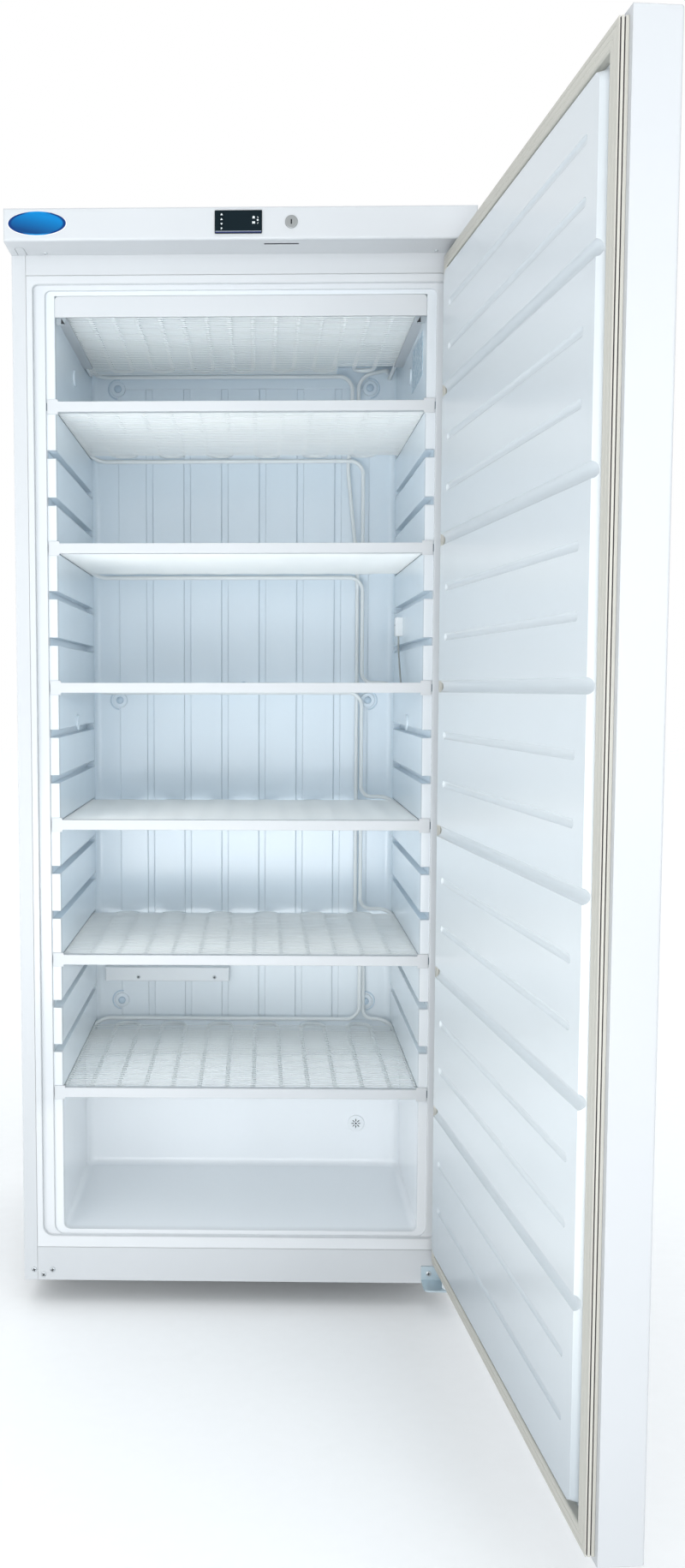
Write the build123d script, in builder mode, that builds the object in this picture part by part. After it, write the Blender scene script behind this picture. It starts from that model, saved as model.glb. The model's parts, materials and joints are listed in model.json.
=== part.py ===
from build123d import *
import math
import os

# Upright static freezer with fixed evaporator shelves, standing with its door open.
# X runs to the right, Y from the front to the back, Z up. The origin lies on the floor,
# under the middle of the cabinet's front frame. All lengths are in millimetres.

os.makedirs("parts", exist_ok=True)

# Cabinet
BODY_W = 777.0
BODY_D = 590.0
BODY_H = 1850.0
FOOT_H = 45.0
SHEET = 1.0
FRONT_T = 2.0
BASE_T = 1.5
SIDE_FLANGE = 23.5
TOP_RAIL_H = 86.0
BOTTOM_RAIL_H = 61.0
SEAM = 0.4
PAST = 1.0
LEAD_IN = 60.0

# Inner liner, with a stepped front edge that takes the door's inner panel
LINER_T = 2.0
STEP1_W = 708.0
STEP1_D = 8.0
STEP1_DROP = 100.0
STEP1_BOTTOM = 82.0
STEP2_W = 668.0
STEP2_D = 12.0
STEP2_DROP = 109.0
STEP_CORNERS = (18.0, 9.0)
CAVITY_W = 636.0
CAVITY_D = 505.0
CEILING_DROP = 117.0
FLOOR_H = 90.0
CAVITY_CORNER = 13.0
FLOOR_CORNER = 12.0
WELL_D = 332.0
WELL_H = 316.0
WELL_CORNER = 20.0
BACK_FIELD_W = 528.0
BACK_FIELD_DEEP = 1.5
BACK_FIELD_LOW = 30.0
BACK_FIELD_HIGH = 20.0
RIB_COUNT = 6
RIB_PITCH = 79.6
RIB_W = 14.0
RIB_DEEP = 4.5
BOSS_R = 15.0
BOSS_TOP_R = 7.0
BOSS_PROUD = 3.0
BOSS_X = 264.0
BOSS_DROP = 160.0
BOSS_LOW = 388.0
SIDE_BOSS_Y = 240.0
SIDE_BOSS_DROP = 40.0

# Shelves: wire racks on one long refrigerant tube
SHELF_COUNT = 6
COIL_DROP = 23.0
FIRST_SHELF_DROP = 162.5
LAST_SHELF_H = 342.5
GROOVES_BETWEEN = 2
GROOVE_H = 14.0
GROOVE_DEEP = 15.0
GROOVE_BACK = 490.0
TUBE_R = 4.0
WIRE_R = 1.0
WIRE_GAP = 0.2
WIRE_PITCH = 12.6
TUBE_RUNS = 14
TUBE_SPAN = 641.0
TUBE_FRONT = 56.0
TUBE_BACK = 458.0
TUBE_JOIN = 20.0
TOP_RUNS = 16
TOP_SPAN = 610.0
TOP_BACK = 416.0
BAR_W = 8.0
BAR_GAP = 0.3
TOP_BAR_W = 6.0
STRIP_FRONT = 10.0
STRIP_T = 12.0
STRIP_H = 17.5
CAP_H = 25.0
MAT_BACK = 480.0
TOP_MAT_BACK = 446.0
TOP_NOTCH = (190.0, 376.0)

# Links from rack to rack down the back wall, and the return line behind them
LINK_Y = 484.5
LINK_DIP = 10.5
LINK_IN = 21.0
LINK_START = 8.0
RISER_FIRST = 226.0
RISER_X = 250.0
BEND_REACH = 28.0
BEND_SHARE = 0.45
TAIL_RUNS = 3
RETURN_Y = 495.0
RETURN_LOW_X = 258.5
RETURN_X = 240.0
RETURN_SWAY = 217.0
RETURN_END = 300.0
RETURN_EXIT = 20.0
RETURN_RISE = (3.0, 12.5)
CEILING_STRIP_H = 35.0
CEILING_STRIP_T = 3.0
CEILING_RAIL_W = 18.0
CEILING_RAIL_T = 2.0

# Small fittings inside
CLIP_Y = 341.0
CLIP_RISE = 121.0
CLIP_SIZE = (15.0, 22.0, 37.0)
LEAD_R = 1.75
LEAD_OUT = 7.0
LEAD_DROPS = (0.3, 0.6)
LEAD_RUNS = (0.2, 0.5)
COVER_X = -164.0
COVER_H = 450.0
COVER_SIZE = (267.0, 25.0, 30.0)
COVER_SCREWS = (-62.0, 102.0)
COVER_SCREW_DROP = 6.0
PLATE_Y = 140.0
PLATE_DROP = 200.0
PLATE_SIZE = (150.0, 75.0)
PLATE_T = 0.5
GROMMET_X = 232.4
GROMMET_H = 176.8
GROMMET_R = 17.0
GROMMET_LIP = 2.5
GROMMET_TUBE_R = 12.5
GROMMET_SLOTS = 8
GROMMET_SLOT_R = 6.8
GROMMET_SLOT_LONG = 5.5
GROMMET_SLOT_W = 1.6
GROMMET_FIT = 0.1

# Control canopy over the door
CANOPY_H = 53.0
CANOPY_T = 1.2
CANOPY_ROUND = 4.0
BADGE_X = -332.4
BADGE_R = (48.9, 19.5)
BADGE_T = 1.6
CANOPY_MID = 27.5
DISPLAY_X = -2.2
BEZEL_SIZE = (77.3, 36.6)
BEZEL_T = 3.0
CASE_SIZE = (71.0, 29.0)
CASE_D = 50.0
WINDOW_SIZE = (52.0, 30.0)
WINDOW_SHIFT = 9.5
WINDOW_T = 1.2
WINDOW_PROUD = 0.3
KEY_COUNT = 4
KEY_PITCH = 7.5
KEY_SIZE = (7.0, 5.0)
KEY_LONG = 5.0
KEY_SHIFT = 27.4
KEY_PROUD = 0.5
KEY_TRAVEL = 0.5
KEY_FIT = 0.15
KEY_SPARE = 1.0
LOCK_X = 84.4
LOCK_R = 10.3
LOCK_PROUD = 2.0
LOCK_BODY_R = 9.0
PLUG_R = 6.5
PLUG_FIT = 0.05
CAM_R = 48.0
CAM_W = 16.0
CAM_T = 2.5
CAM_BACK = 48.5
CAM_SLOT_SLACK = 5.0
CAM_GAP = 0.6
KEYHOLE = (2.2, 8.0, 8.0)
CANOPY_SCREW_X = 329.0
CANOPY_SCREW_Y = 11.0
SCREW_R = 5.0
SCREW_HEAD = 1.8
SCREW_SHANK_R = 2.0
SCREW_FIT = 0.1

# Door and its hinge
DOOR_OPEN = 96.0
DOOR_GAP = 12.5
DOOR_T = 57.5
DOOR_BOTTOM = 38.0
DOOR_HEAD_GAP = 4.0
DOOR_ROUND = 4.0
SKIN_RETURN = 13.0
SKIN_RETURN_T = 2.0
HINGE_IN = 19.5
HINGE_OUT = 31.0
PIN_R = 5.0
PIN_FIT = 0.05
PIN_REACH = 17.0
BUSH_R = 9.0
BUSH_LONG = 20.0
SPACER_R = 11.0
HINGE_T = 3.0
HINGE_LEFT = 44.0
HINGE_RIGHT = 16.0
HINGE_DEEP = 45.0
LOWER_HINGE_H = 8.0
HINGE_LEG = 24.0
HINGE_SLOT_R = 8.0
HINGE_SLOT_JOINT = 0.8
HINGE_CORNER = 10.0

# Inner face of the door
GASKET_INSET = 8.5
GASKET_W = 25.0
GASKET_AIR = 0.3
GASKET_BANDS = (4.3, 1.2, 3.6, 1.2)
GASKET_FOLD = 3.0
GASKET_RELIEF = 3.2
PANEL_T = 2.0
PANEL_PROUD = 6.0
PANEL_SIDE = 45.5
PANEL_LOW = 50.0
PANEL_HIGH = 47.0
PANEL_DRAFT = 18.0
PANEL_CORNER = 18.0
WIDE_R = 10.0
WIDE_LIFT = 1.0
NARROW_R = 7.0
NARROW_LIFT = 3.6
NARROW_REACH = 303.0
PRESS_DROP = 295.5
PRESS_PITCH = 81.1
PRESS_COUNT = 18
PRESS_ABOVE = (63.0, 132.0)
CUP_IN = 33.0
CUP_HEIGHT = 900.0
CUP_SIZE = (24.0, 22.0, 130.0)
CUP_WALL = 1.5
CUP_LIP = 6.0
STRIKE_WALL = 2.0
STRIKE_DEEP = 24.0
STRIKE_W = 14.0

# Machine space under the back of the cabinet
MACHINE_FRONT = 392.0
MACHINE_H = 258.0
COMPRESSOR_X = -150.0
COMPRESSOR_R = (108.0, 72.0)
COMPRESSOR_H = 150.0
COMPRESSOR_DOME = 45.0
COMPRESSOR_PLATE = (250.0, 110.0, 3.0)
MOUNT_R = 11.0
MOUNT_H = 18.0
MOUNT_IN = 16.0
STUB_R = 4.0
STUB_LONG = 30.0
DRIER_X = 150.0
DRIER_R = 9.5
DRIER_LONG = 110.0
DRIER_LOW = 70.0
LINE_R = 3.0
INLET_X = -320.0
INLET_SIZE = (60.0, 34.0, 46.0)
INLET_SOCKET = (27.0, 16.0, 20.0)
CONDENSER_W = 600.0
CONDENSER_LOW = 330.0
CONDENSER_DROP = 160.0
CONDENSER_RUNS = 26
CONDENSER_D = 35.0
CONDENSER_WIRES = 25
CONDENSER_TUBE_R = 2.5
CONDENSER_BAR = 12.0
CONDENSER_BAR_T = 1.5

# Screws at the foot of the front frame: distance in from the side, height
SIDE_SCREW = (17.5, 19.0)
MIDDLE_SCREW = (34.5, 10.0)
INNER_SCREW = (50.5, 19.0)

# Levelling feet
FOOT_IN = 58.5
FOOT_FRONT = 122.0
FOOT_BACK = 545.0
FOOT_R = 22.0
FOOT_PAD_H = 12.0
FOOT_STEM_R = 6.0
FOOT_STEM_UP = 22.0
FOOT_NUT_R = 11.0
FOOT_NUT_H = 8.0
FOOT_FIT = 0.1
FOOT_POCKET_R = 14.0
FOOT_POCKET_H = 26.0

# Places that several pieces share
BASE = FOOT_H
TOP = BASE + BODY_H
HALF_W = BODY_W / 2
CANOPY_D = DOOR_GAP + DOOR_T
CANOPY_LOW = TOP - CANOPY_H
CANOPY_Z = CANOPY_LOW + CANOPY_MID
DOOR_LOW = BASE + DOOR_BOTTOM
DOOR_HIGH = CANOPY_LOW - DOOR_HEAD_GAP
HINGE_X = HALF_W - HINGE_IN
HINGE_Y = -HINGE_OUT
LINER_W = BODY_W - 2 * SIDE_FLANGE - 2 * SEAM
LINER_TOP = TOP - TOP_RAIL_H - SEAM
LINER_LOW = BASE + BOTTOM_RAIL_H + SEAM
CEILING_Z = TOP - CEILING_DROP
TOP_COIL_Z = CEILING_Z - COIL_DROP
SHELF_PITCH = (TOP_COIL_Z - FIRST_SHELF_DROP - BASE - LAST_SHELF_H) / (SHELF_COUNT - 1)
SHELF_Z = [BASE + LAST_SHELF_H + SHELF_PITCH * i for i in reversed(range(SHELF_COUNT))]
COIL_Z = [TOP_COIL_Z] + SHELF_Z
GROOVE_STEP = SHELF_PITCH / (GROOVES_BETWEEN + 1)
FREE_Z = [z - GROOVE_STEP * (j + 1) for z in SHELF_Z[:-1] for j in range(GROOVES_BETWEEN)]
PRESS_Z = [TOP - PRESS_DROP - PRESS_PITCH * i for i in range(PRESS_COUNT)]
WIDE_Z = PRESS_Z[::3]
NARROW_Z = [PRESS_Z[0] + up for up in PRESS_ABOVE] + [z for z in PRESS_Z if z not in WIDE_Z]
BOSS_Z = (TOP - BOSS_DROP, (TOP - BOSS_DROP + BASE + BOSS_LOW) / 2, BASE + BOSS_LOW)
RACK_FRONT = STRIP_FRONT + STRIP_T
WIRE_BACK = TUBE_BACK + LINK_START - BEND_SHARE * (LINK_START + TUBE_JOIN)
CAM_Y = -CAM_BACK
CAM_SWEEP = math.sqrt(CAM_R**2 - CANOPY_MID**2)
CAM_SLOT_X = (LOCK_X - CAM_SWEEP - CAM_SLOT_SLACK, LOCK_X + CAM_W / 2 + CAM_SLOT_SLACK)
MACHINE_TOP = BASE + MACHINE_H
COVER_FRONT = CAVITY_D - COVER_SIZE[1]
COVER_SCREW_X = [COVER_X + shift for shift in COVER_SCREWS]
COVER_SCREW_Z = BASE + COVER_H - COVER_SCREW_DROP
PANEL_FOOT = (DOOR_GAP + PANEL_PROUD) * math.tan(math.radians(PANEL_DRAFT))
FOOT_SPOTS = {
    "front_left": (-HALF_W + FOOT_IN, FOOT_FRONT),
    "front_right": (HALF_W - FOOT_IN, FOOT_FRONT),
    "back_left": (-HALF_W + FOOT_IN, FOOT_BACK),
    "back_right": (HALF_W - FOOT_IN, FOOT_BACK),
}


def keep(part, name):
    """Label a finished piece and write it to its own file."""
    part.label = name
    export_step(part, f"parts/{name}.step")


def block(x, y, z, mode=Mode.ADD):
    """A box between two values on each axis."""
    with Locations((sum(x) / 2, sum(y) / 2, sum(z) / 2)):
        Box(abs(x[1] - x[0]), abs(y[1] - y[0]), abs(z[1] - z[0]), mode=mode)


def rod(start, end, radius, mode=Mode.ADD):
    """A round bar from one point to another."""
    axis = Vector(*end) - Vector(*start)
    with BuildSketch(Plane(origin=start, z_dir=axis)) as disc:
        Circle(radius)
    extrude(disc.sketch, amount=axis.length, mode=mode)


def bent_path(points, bend):
    """Straight runs through the points, joined by tangent arcs."""
    stops = [Vector(*p) for p in points]
    with BuildLine() as path:
        start = stops[0]
        for before, corner, after in zip(stops, stops[1:], stops[2:]):
            back = (before - corner).normalized()
            ahead = (after - corner).normalized()
            half = math.radians(back.get_angle(ahead)) / 2
            enter = corner + back * (bend / math.tan(half))
            leave = corner + ahead * (bend / math.tan(half))
            centre = corner + (back + ahead).normalized() * (bend / math.sin(half))
            middle = centre + (corner - centre).normalized() * bend
            if (enter - start).length > 0.001:
                Line(start, enter)
            ThreePointArc(enter, middle, leave)
            start = leave
        Line(start, stops[-1])
    return path.line


def eased_path(points, most):
    """Straight runs joined by arcs as large as the runs allow; also gives the arcs' radii."""
    stops = [Vector(*p) for p in points]
    radii = []
    with BuildLine() as path:
        start = stops[0]
        for before, corner, after in zip(stops, stops[1:], stops[2:]):
            back = (before - corner).normalized()
            ahead = (after - corner).normalized()
            turn = math.radians(180 - back.get_angle(ahead))
            reach = min(most, BEND_SHARE * min((before - corner).length, (after - corner).length))
            bend = reach / math.tan(turn / 2)
            radii.append(bend)
            enter = corner + back * reach
            leave = corner + ahead * reach
            centre = corner + (back + ahead).normalized() * (bend / math.cos(turn / 2))
            middle = centre + (corner - centre).normalized() * bend
            Line(start, enter)
            ThreePointArc(enter, middle, leave)
            start = leave
        Line(start, stops[-1])
    return path.line, radii


def pipe(path, radius):
    """A round tube, drawn as solid, along a path."""
    with BuildSketch(Plane(origin=path @ 0, z_dir=path % 0)) as disc:
        Circle(radius)
    sweep(disc.sketch, path=path)


def cavity(grow, front):
    """The air space of the cabinet, with every wall moved outward by grow."""
    with BuildPart() as air:
        depth = WELL_D + grow + LEAD_IN
        with BuildSketch(Plane.XY.offset(BASE + FLOOR_H - grow)) as well:
            with Locations((0, depth / 2 - LEAD_IN)):
                RectangleRounded(CAVITY_W + 2 * grow, depth, WELL_CORNER + grow)
        extrude(amount=WELL_H - FLOOR_H + grow + PAST)
        fillet(air.edges().group_by(Axis.Z)[0], FLOOR_CORNER + grow)
        depth = CAVITY_D + grow + LEAD_IN
        with BuildSketch(Plane.XY.offset(BASE + WELL_H - grow)) as room:
            with Locations((0, depth / 2 - LEAD_IN)):
                RectangleRounded(CAVITY_W + 2 * grow, depth, CAVITY_CORNER + grow)
        extrude(amount=CEILING_Z - BASE - WELL_H + 2 * grow)
        front_step(STEP1_W, STEP1_D, STEP1_DROP, grow, front)
        front_step(STEP2_W, STEP2_D, STEP2_DROP, grow, front)
        cut_back_field(grow)
        cut_shelf_grooves(grow)
        block((-BODY_W, BODY_W), (-2 * LEAD_IN, front), (0, 2 * TOP), Mode.SUBTRACT)
    return air.part


def front_step(width, depth, drop, grow, front):
    """One step of the liner's front edge, with rounded corners below and above."""
    low = BASE + STEP1_BOTTOM - grow
    high = TOP - drop + grow
    face = Plane((0, front, (low + high) / 2), x_dir=(1, 0, 0), z_dir=(0, -1, 0))
    with BuildSketch(face) as outline:
        Rectangle(width + 2 * grow, high - low)
        fillet(outline.vertices().group_by(Axis.Y)[0], STEP_CORNERS[0] + grow)
        fillet(outline.vertices().group_by(Axis.Y)[-1], STEP_CORNERS[1] + grow)
    extrude(outline.sketch, amount=-(depth + grow - front))


def cut_back_field(grow):
    """The sunk field and the upright ribs in the back wall."""
    low = BASE + WELL_H + BACK_FIELD_LOW - grow
    high = TOP_COIL_Z - BACK_FIELD_HIGH + grow
    half = BACK_FIELD_W / 2 + grow
    block((-half, half), (CAVITY_D - PAST, CAVITY_D + BACK_FIELD_DEEP + grow), (low, high))
    half = RIB_W / 2 + grow
    for i in range(RIB_COUNT):
        x = (i - (RIB_COUNT - 1) / 2) * RIB_PITCH
        block((x - half, x + half), (CAVITY_D - PAST, CAVITY_D + RIB_DEEP + grow), (low, high))


def cut_shelf_grooves(grow):
    """The shelf grooves in both side walls, open at the front."""
    start = STEP2_D - GROOVE_H
    length = GROOVE_BACK + grow - start
    spots = [(start + length / 2, z) for z in SHELF_Z + FREE_Z]
    inner = CAVITY_W / 2 - PAST
    deep = GROOVE_DEEP + grow + PAST
    for side in (-1, 1):
        with BuildSketch(Plane.YZ.offset(side * inner)) as slots:
            with Locations(*spots):
                SlotOverall(length, GROOVE_H + 2 * grow)
        extrude(slots.sketch, amount=side * deep)


def screw(spot, out, head_r, shank):
    """A pan head on a surface, with its shank going in against the outward direction."""
    spot = Vector(*spot)
    out = Vector(*out)
    rod(spot, spot + out * SCREW_HEAD, head_r)
    rod(spot - out * shank, spot, SCREW_SHANK_R)


def screw_hole(spot, out, deep):
    """The clearance hole that a screw passes through."""
    spot = Vector(*spot)
    out = Vector(*out)
    rod(spot - out * deep, spot + out * PAST, SCREW_SHANK_R + SCREW_FIT, Mode.SUBTRACT)


def frame_screws(side):
    """Screw places at the foot of the front frame on one side."""
    places = (SIDE_SCREW, MIDDLE_SCREW, INNER_SCREW) if side < 0 else (SIDE_SCREW, INNER_SCREW)
    return [(side * (HALF_W - inward), 0.0, BASE + height) for inward, height in places]


def outer_shell():
    """One bent sheet: two sides and the top, with flanges around to the front."""
    with BuildPart() as shell:
        for side in (-1, 1):
            block((side * (HALF_W - SHEET), side * HALF_W), (0, BODY_D), (BASE, TOP))
            block((side * (HALF_W - SIDE_FLANGE), side * HALF_W), (0, FRONT_T), (BASE, TOP))
            screw_hole(frame_screws(side)[0], (0, -1, 0), FRONT_T)
        block((-HALF_W, HALF_W), (0, BODY_D), (TOP - SHEET, TOP))
    keep(shell.part, "outer_shell")


def front_rails():
    """The painted rails above and below the liner's front edge."""
    half = HALF_W - SIDE_FLANGE - SEAM
    with BuildPart() as upper:
        block((-half, half), (0, FRONT_T), (TOP - TOP_RAIL_H, TOP - SHEET))
    keep(upper.part, "front_rail_top")
    with BuildPart() as lower:
        block((-half, half), (0, FRONT_T), (BASE, BASE + BOTTOM_RAIL_H))
        for side in (-1, 1):
            for spot in frame_screws(side)[1:]:
                screw_hole(spot, (0, -1, 0), FRONT_T)
    keep(lower.part, "front_rail_bottom")


def liner():
    """The moulded inner liner: front flange, steps, grooves, ribs and low round bosses."""
    outer = cavity(LINER_T, 0.0)
    inner = cavity(0.0, -PAST)
    with BuildPart() as tub:
        block((-LINER_W / 2, LINER_W / 2), (0, FRONT_T), (LINER_LOW, LINER_TOP))
        add(outer)
        add(inner, mode=Mode.SUBTRACT)
        for z in BOSS_Z:
            for side in (-1, 1):
                x = side * BOSS_X
                rod((x, CAVITY_D + LINER_T, z), (x, CAVITY_D - BOSS_PROUD, z), BOSS_R)
                rod((x, CAVITY_D, z), (x, CAVITY_D - 2 * BOSS_PROUD, z), BOSS_TOP_R)
        for height in BOSS_Z[:2]:
            for side in (-1, 1):
                x = side * CAVITY_W / 2
                z = height - SIDE_BOSS_DROP
                rod((x, SIDE_BOSS_Y, z), (x - side * BOSS_PROUD, SIDE_BOSS_Y, z), BOSS_R)
        spot = (GROMMET_X, WELL_D, BASE + GROMMET_H)
        rod(spot, (GROMMET_X, WELL_D + 2 * LINER_T, BASE + GROMMET_H),
            GROMMET_TUBE_R + GROMMET_FIT, Mode.SUBTRACT)
    keep(tub.part, "liner")
    return outer


def insulation(outer):
    """The foam between the sheets and the liner."""
    half = HALF_W - SHEET
    bottom = BASE + BASE_T
    with BuildPart() as foam:
        block((-half, half), (FRONT_T, BODY_D - SHEET), (bottom, TOP - SHEET))
        add(outer, mode=Mode.SUBTRACT)
        height = (bottom, MACHINE_TOP + SHEET)
        block((-half, half), (MACHINE_FRONT - SHEET, BODY_D), height, Mode.SUBTRACT)
        z = BASE + GROMMET_H
        rod((GROMMET_X, WELL_D, z), (GROMMET_X, BODY_D, z), GROMMET_TUBE_R + GROMMET_FIT, Mode.SUBTRACT)
        for name in ("front_left", "front_right"):
            x, y = FOOT_SPOTS[name]
            rod((x, y, bottom), (x, y, bottom + FOOT_POCKET_H), FOOT_POCKET_R, Mode.SUBTRACT)
    keep(foam.part, "insulation")


def back_sheet():
    """The rear sheet, stepped around the machine space."""
    half = HALF_W - SHEET - SEAM
    with BuildPart() as sheet:
        block((-half, half), (BODY_D - SHEET, BODY_D), (MACHINE_TOP, TOP - SHEET))
        block((-half, half), (MACHINE_FRONT - SHEET, BODY_D), (MACHINE_TOP, MACHINE_TOP + SHEET))
        block((-half, half), (MACHINE_FRONT - SHEET, MACHINE_FRONT), (BASE + BASE_T, MACHINE_TOP))
        z = BASE + GROMMET_H
        rod((GROMMET_X, WELL_D, z), (GROMMET_X, BODY_D, z), GROMMET_TUBE_R + GROMMET_FIT, Mode.SUBTRACT)
    keep(sheet.part, "back_sheet")


def base_pan():
    """The floor sheet that carries the feet and the compressor."""
    half = HALF_W - SHEET - SEAM
    with BuildPart() as pan:
        block((-half, half), (FRONT_T, BODY_D), (BASE, BASE + BASE_T))
        for x, y in FOOT_SPOTS.values():
            rod((x, y, BASE - PAST), (x, y, BASE + 2 * BASE_T), FOOT_STEM_R + FOOT_FIT, Mode.SUBTRACT)
    keep(pan.part, "base_pan")


def foot(name, spot):
    """A levelling foot: pad, hexagon and stem."""
    x, y = spot
    with BuildPart() as leg:
        rod((x, y, 0), (x, y, FOOT_PAD_H), FOOT_R)
        fillet(leg.edges().group_by(Axis.Z)[-1], FOOT_PAD_H / 3)
        with BuildSketch(Plane.XY.offset(FOOT_PAD_H)) as nut:
            with Locations((x, y)):
                RegularPolygon(FOOT_NUT_R, 6)
        extrude(nut.sketch, amount=FOOT_NUT_H)
        rod((x, y, FOOT_PAD_H), (x, y, BASE + BASE_T + FOOT_STEM_UP), FOOT_STEM_R)
    keep(leg.part, "foot_" + name)


def canopy():
    """The folded control canopy, open at the back, with its cut-outs."""
    inner = HALF_W - CANOPY_T
    with BuildPart() as room:
        block((-inner, inner), (-CANOPY_D + CANOPY_T, 0), (CANOPY_LOW + CANOPY_T, TOP - CANOPY_T))
        face = room.faces().sort_by(Axis.Y)[0]
        fillet(face.edges(), CANOPY_ROUND - CANOPY_T)
    with BuildPart() as hood:
        block((-HALF_W, HALF_W), (-CANOPY_D, 0), (CANOPY_LOW, TOP))
        front = hood.faces().sort_by(Axis.Y)[0]
        fillet(front.edges(), CANOPY_ROUND)
        add(room.part, mode=Mode.SUBTRACT)
        wall = (-CANOPY_D - PAST, -CANOPY_D + 2 * CANOPY_T)
        half = CASE_SIZE[0] / 2 + SEAM / 2
        tall = CASE_SIZE[1] / 2 + SEAM / 2
        x = (DISPLAY_X - half, DISPLAY_X + half)
        block(x, wall, (CANOPY_Z - tall, CANOPY_Z + tall), Mode.SUBTRACT)
        bore = LOCK_BODY_R + PLUG_FIT
        rod((LOCK_X, wall[0], CANOPY_Z), (LOCK_X, wall[1], CANOPY_Z), bore, Mode.SUBTRACT)
        floor = (CANOPY_LOW - PAST, CANOPY_LOW + 2 * CANOPY_T)
        block(CAM_SLOT_X, (CAM_Y - CAM_T, CAM_Y + CAM_T), floor, Mode.SUBTRACT)
        for side in (-1, 1):
            hinge_slot(side * HINGE_X, HINGE_SLOT_R, floor, Mode.SUBTRACT)
            screw_hole((side * CANOPY_SCREW_X, -CANOPY_SCREW_Y, CANOPY_LOW), (0, 0, -1), 2 * CANOPY_T)
    keep(hood.part, "canopy")


def hinge_slot(x, radius, height, mode):
    """A slot from the frame's front to a round end about the hinge axis."""
    block((x - radius, x + radius), (HINGE_Y, 0), height, mode)
    rod((x, HINGE_Y, height[0]), (x, HINGE_Y, height[1]), radius, mode)


def canopy_trim():
    """The bare oval plate, the cover of the unused hinge slot and the screw heads."""
    with BuildPart() as badge:
        face = Plane((BADGE_X, -CANOPY_D, CANOPY_Z), x_dir=(1, 0, 0), z_dir=(0, -1, 0))
        with BuildSketch(face) as oval:
            Ellipse(*BADGE_R)
        extrude(oval.sketch, amount=BADGE_T)
        fillet(badge.edges().group_by(Axis.Y)[0], BADGE_T / 2)
    keep(badge.part, "badge_oval")
    with BuildPart() as cover:
        height = (CANOPY_LOW, CANOPY_LOW + CANOPY_T)
        hinge_slot(-HINGE_X, HINGE_SLOT_R - HINGE_SLOT_JOINT, height, Mode.ADD)
        block(
            (-HINGE_X - HINGE_SLOT_R - SEAM, -HINGE_X + HINGE_SLOT_R + SEAM),
            (HINGE_Y - HINGE_SLOT_R - SEAM, 0),
            (CANOPY_LOW + CANOPY_T, CANOPY_LOW + 2 * CANOPY_T),
        )
    keep(cover.part, "hinge_slot_cover")
    with BuildPart() as screws:
        for spot in frame_screws(-1):
            screw(spot, (0, -1, 0), SCREW_R, FRONT_T)
        for x, y, z in frame_screws(1):
            screw((x, y - HINGE_T, z), (0, -1, 0), SCREW_R, HINGE_T + FRONT_T)
        for side in (-1, 1):
            spot = (side * CANOPY_SCREW_X, -CANOPY_SCREW_Y, CANOPY_LOW)
            screw(spot, (0, 0, -1), SCREW_R - 1, CANOPY_T)
        for x in COVER_SCREW_X:
            screw((x, COVER_FRONT, COVER_SCREW_Z), (0, -1, 0), SCREW_R - 1, LINER_T)
    keep(screws.part, "screws")


def controller():
    """The controller: case and bezel, dark window and four keys."""
    bezel = (-CANOPY_D - BEZEL_T, -CANOPY_D)
    with BuildPart() as case:
        half = BEZEL_SIZE[0] / 2
        tall = BEZEL_SIZE[1] / 2
        block((DISPLAY_X - half, DISPLAY_X + half), bezel, (CANOPY_Z - tall, CANOPY_Z + tall))
        fillet(case.edges().filter_by(Axis.Y), BEZEL_T / 2)
        chamfer(case.faces().sort_by(Axis.Y)[0].edges(), BEZEL_T / 4)
        half = CASE_SIZE[0] / 2
        tall = CASE_SIZE[1] / 2
        x = (DISPLAY_X - half, DISPLAY_X + half)
        block(x, (-CANOPY_D, -CANOPY_D + CASE_D), (CANOPY_Z - tall, CANOPY_Z + tall))
        window_block(WINDOW_T, 0.0, Mode.SUBTRACT)
        for i in range(KEY_COUNT):
            x, z = key_spot(i)
            half = KEY_SIZE[0] / 2 + KEY_FIT
            tall = KEY_SIZE[1] / 2 + KEY_FIT
            back = bezel[0] - KEY_PROUD + KEY_LONG + KEY_TRAVEL + KEY_SPARE
            block((x - half, x + half), (bezel[0] - PAST, back), (z - tall, z + tall), Mode.SUBTRACT)
    keep(case.part, "controller_case")
    with BuildPart() as window:
        window_block(WINDOW_T, WINDOW_PROUD, Mode.ADD)
    keep(window.part, "controller_window")
    for i in range(KEY_COUNT):
        x, z = key_spot(i)
        front = bezel[0] - KEY_PROUD
        with BuildPart() as key:
            block(
                (x - KEY_SIZE[0] / 2, x + KEY_SIZE[0] / 2),
                (front, front + KEY_LONG),
                (z - KEY_SIZE[1] / 2, z + KEY_SIZE[1] / 2),
            )
            fillet(key.edges().filter_by(Axis.Y), KEY_SIZE[1] / 5)
        keep(key.part, f"controller_key_{i + 1}")


def window_block(deep, proud, mode):
    """The window's place in the bezel's face."""
    x = DISPLAY_X + WINDOW_SHIFT
    front = -CANOPY_D - BEZEL_T
    half = WINDOW_SIZE[0] / 2
    tall = WINDOW_SIZE[1] / 2
    block((x - half, x + half), (front - proud, front + deep), (CANOPY_Z - tall, CANOPY_Z + tall), mode)


def key_spot(i):
    """The middle of one key, from the top down."""
    return DISPLAY_X - KEY_SHIFT, CANOPY_Z + ((KEY_COUNT - 1) / 2 - i) * KEY_PITCH


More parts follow.
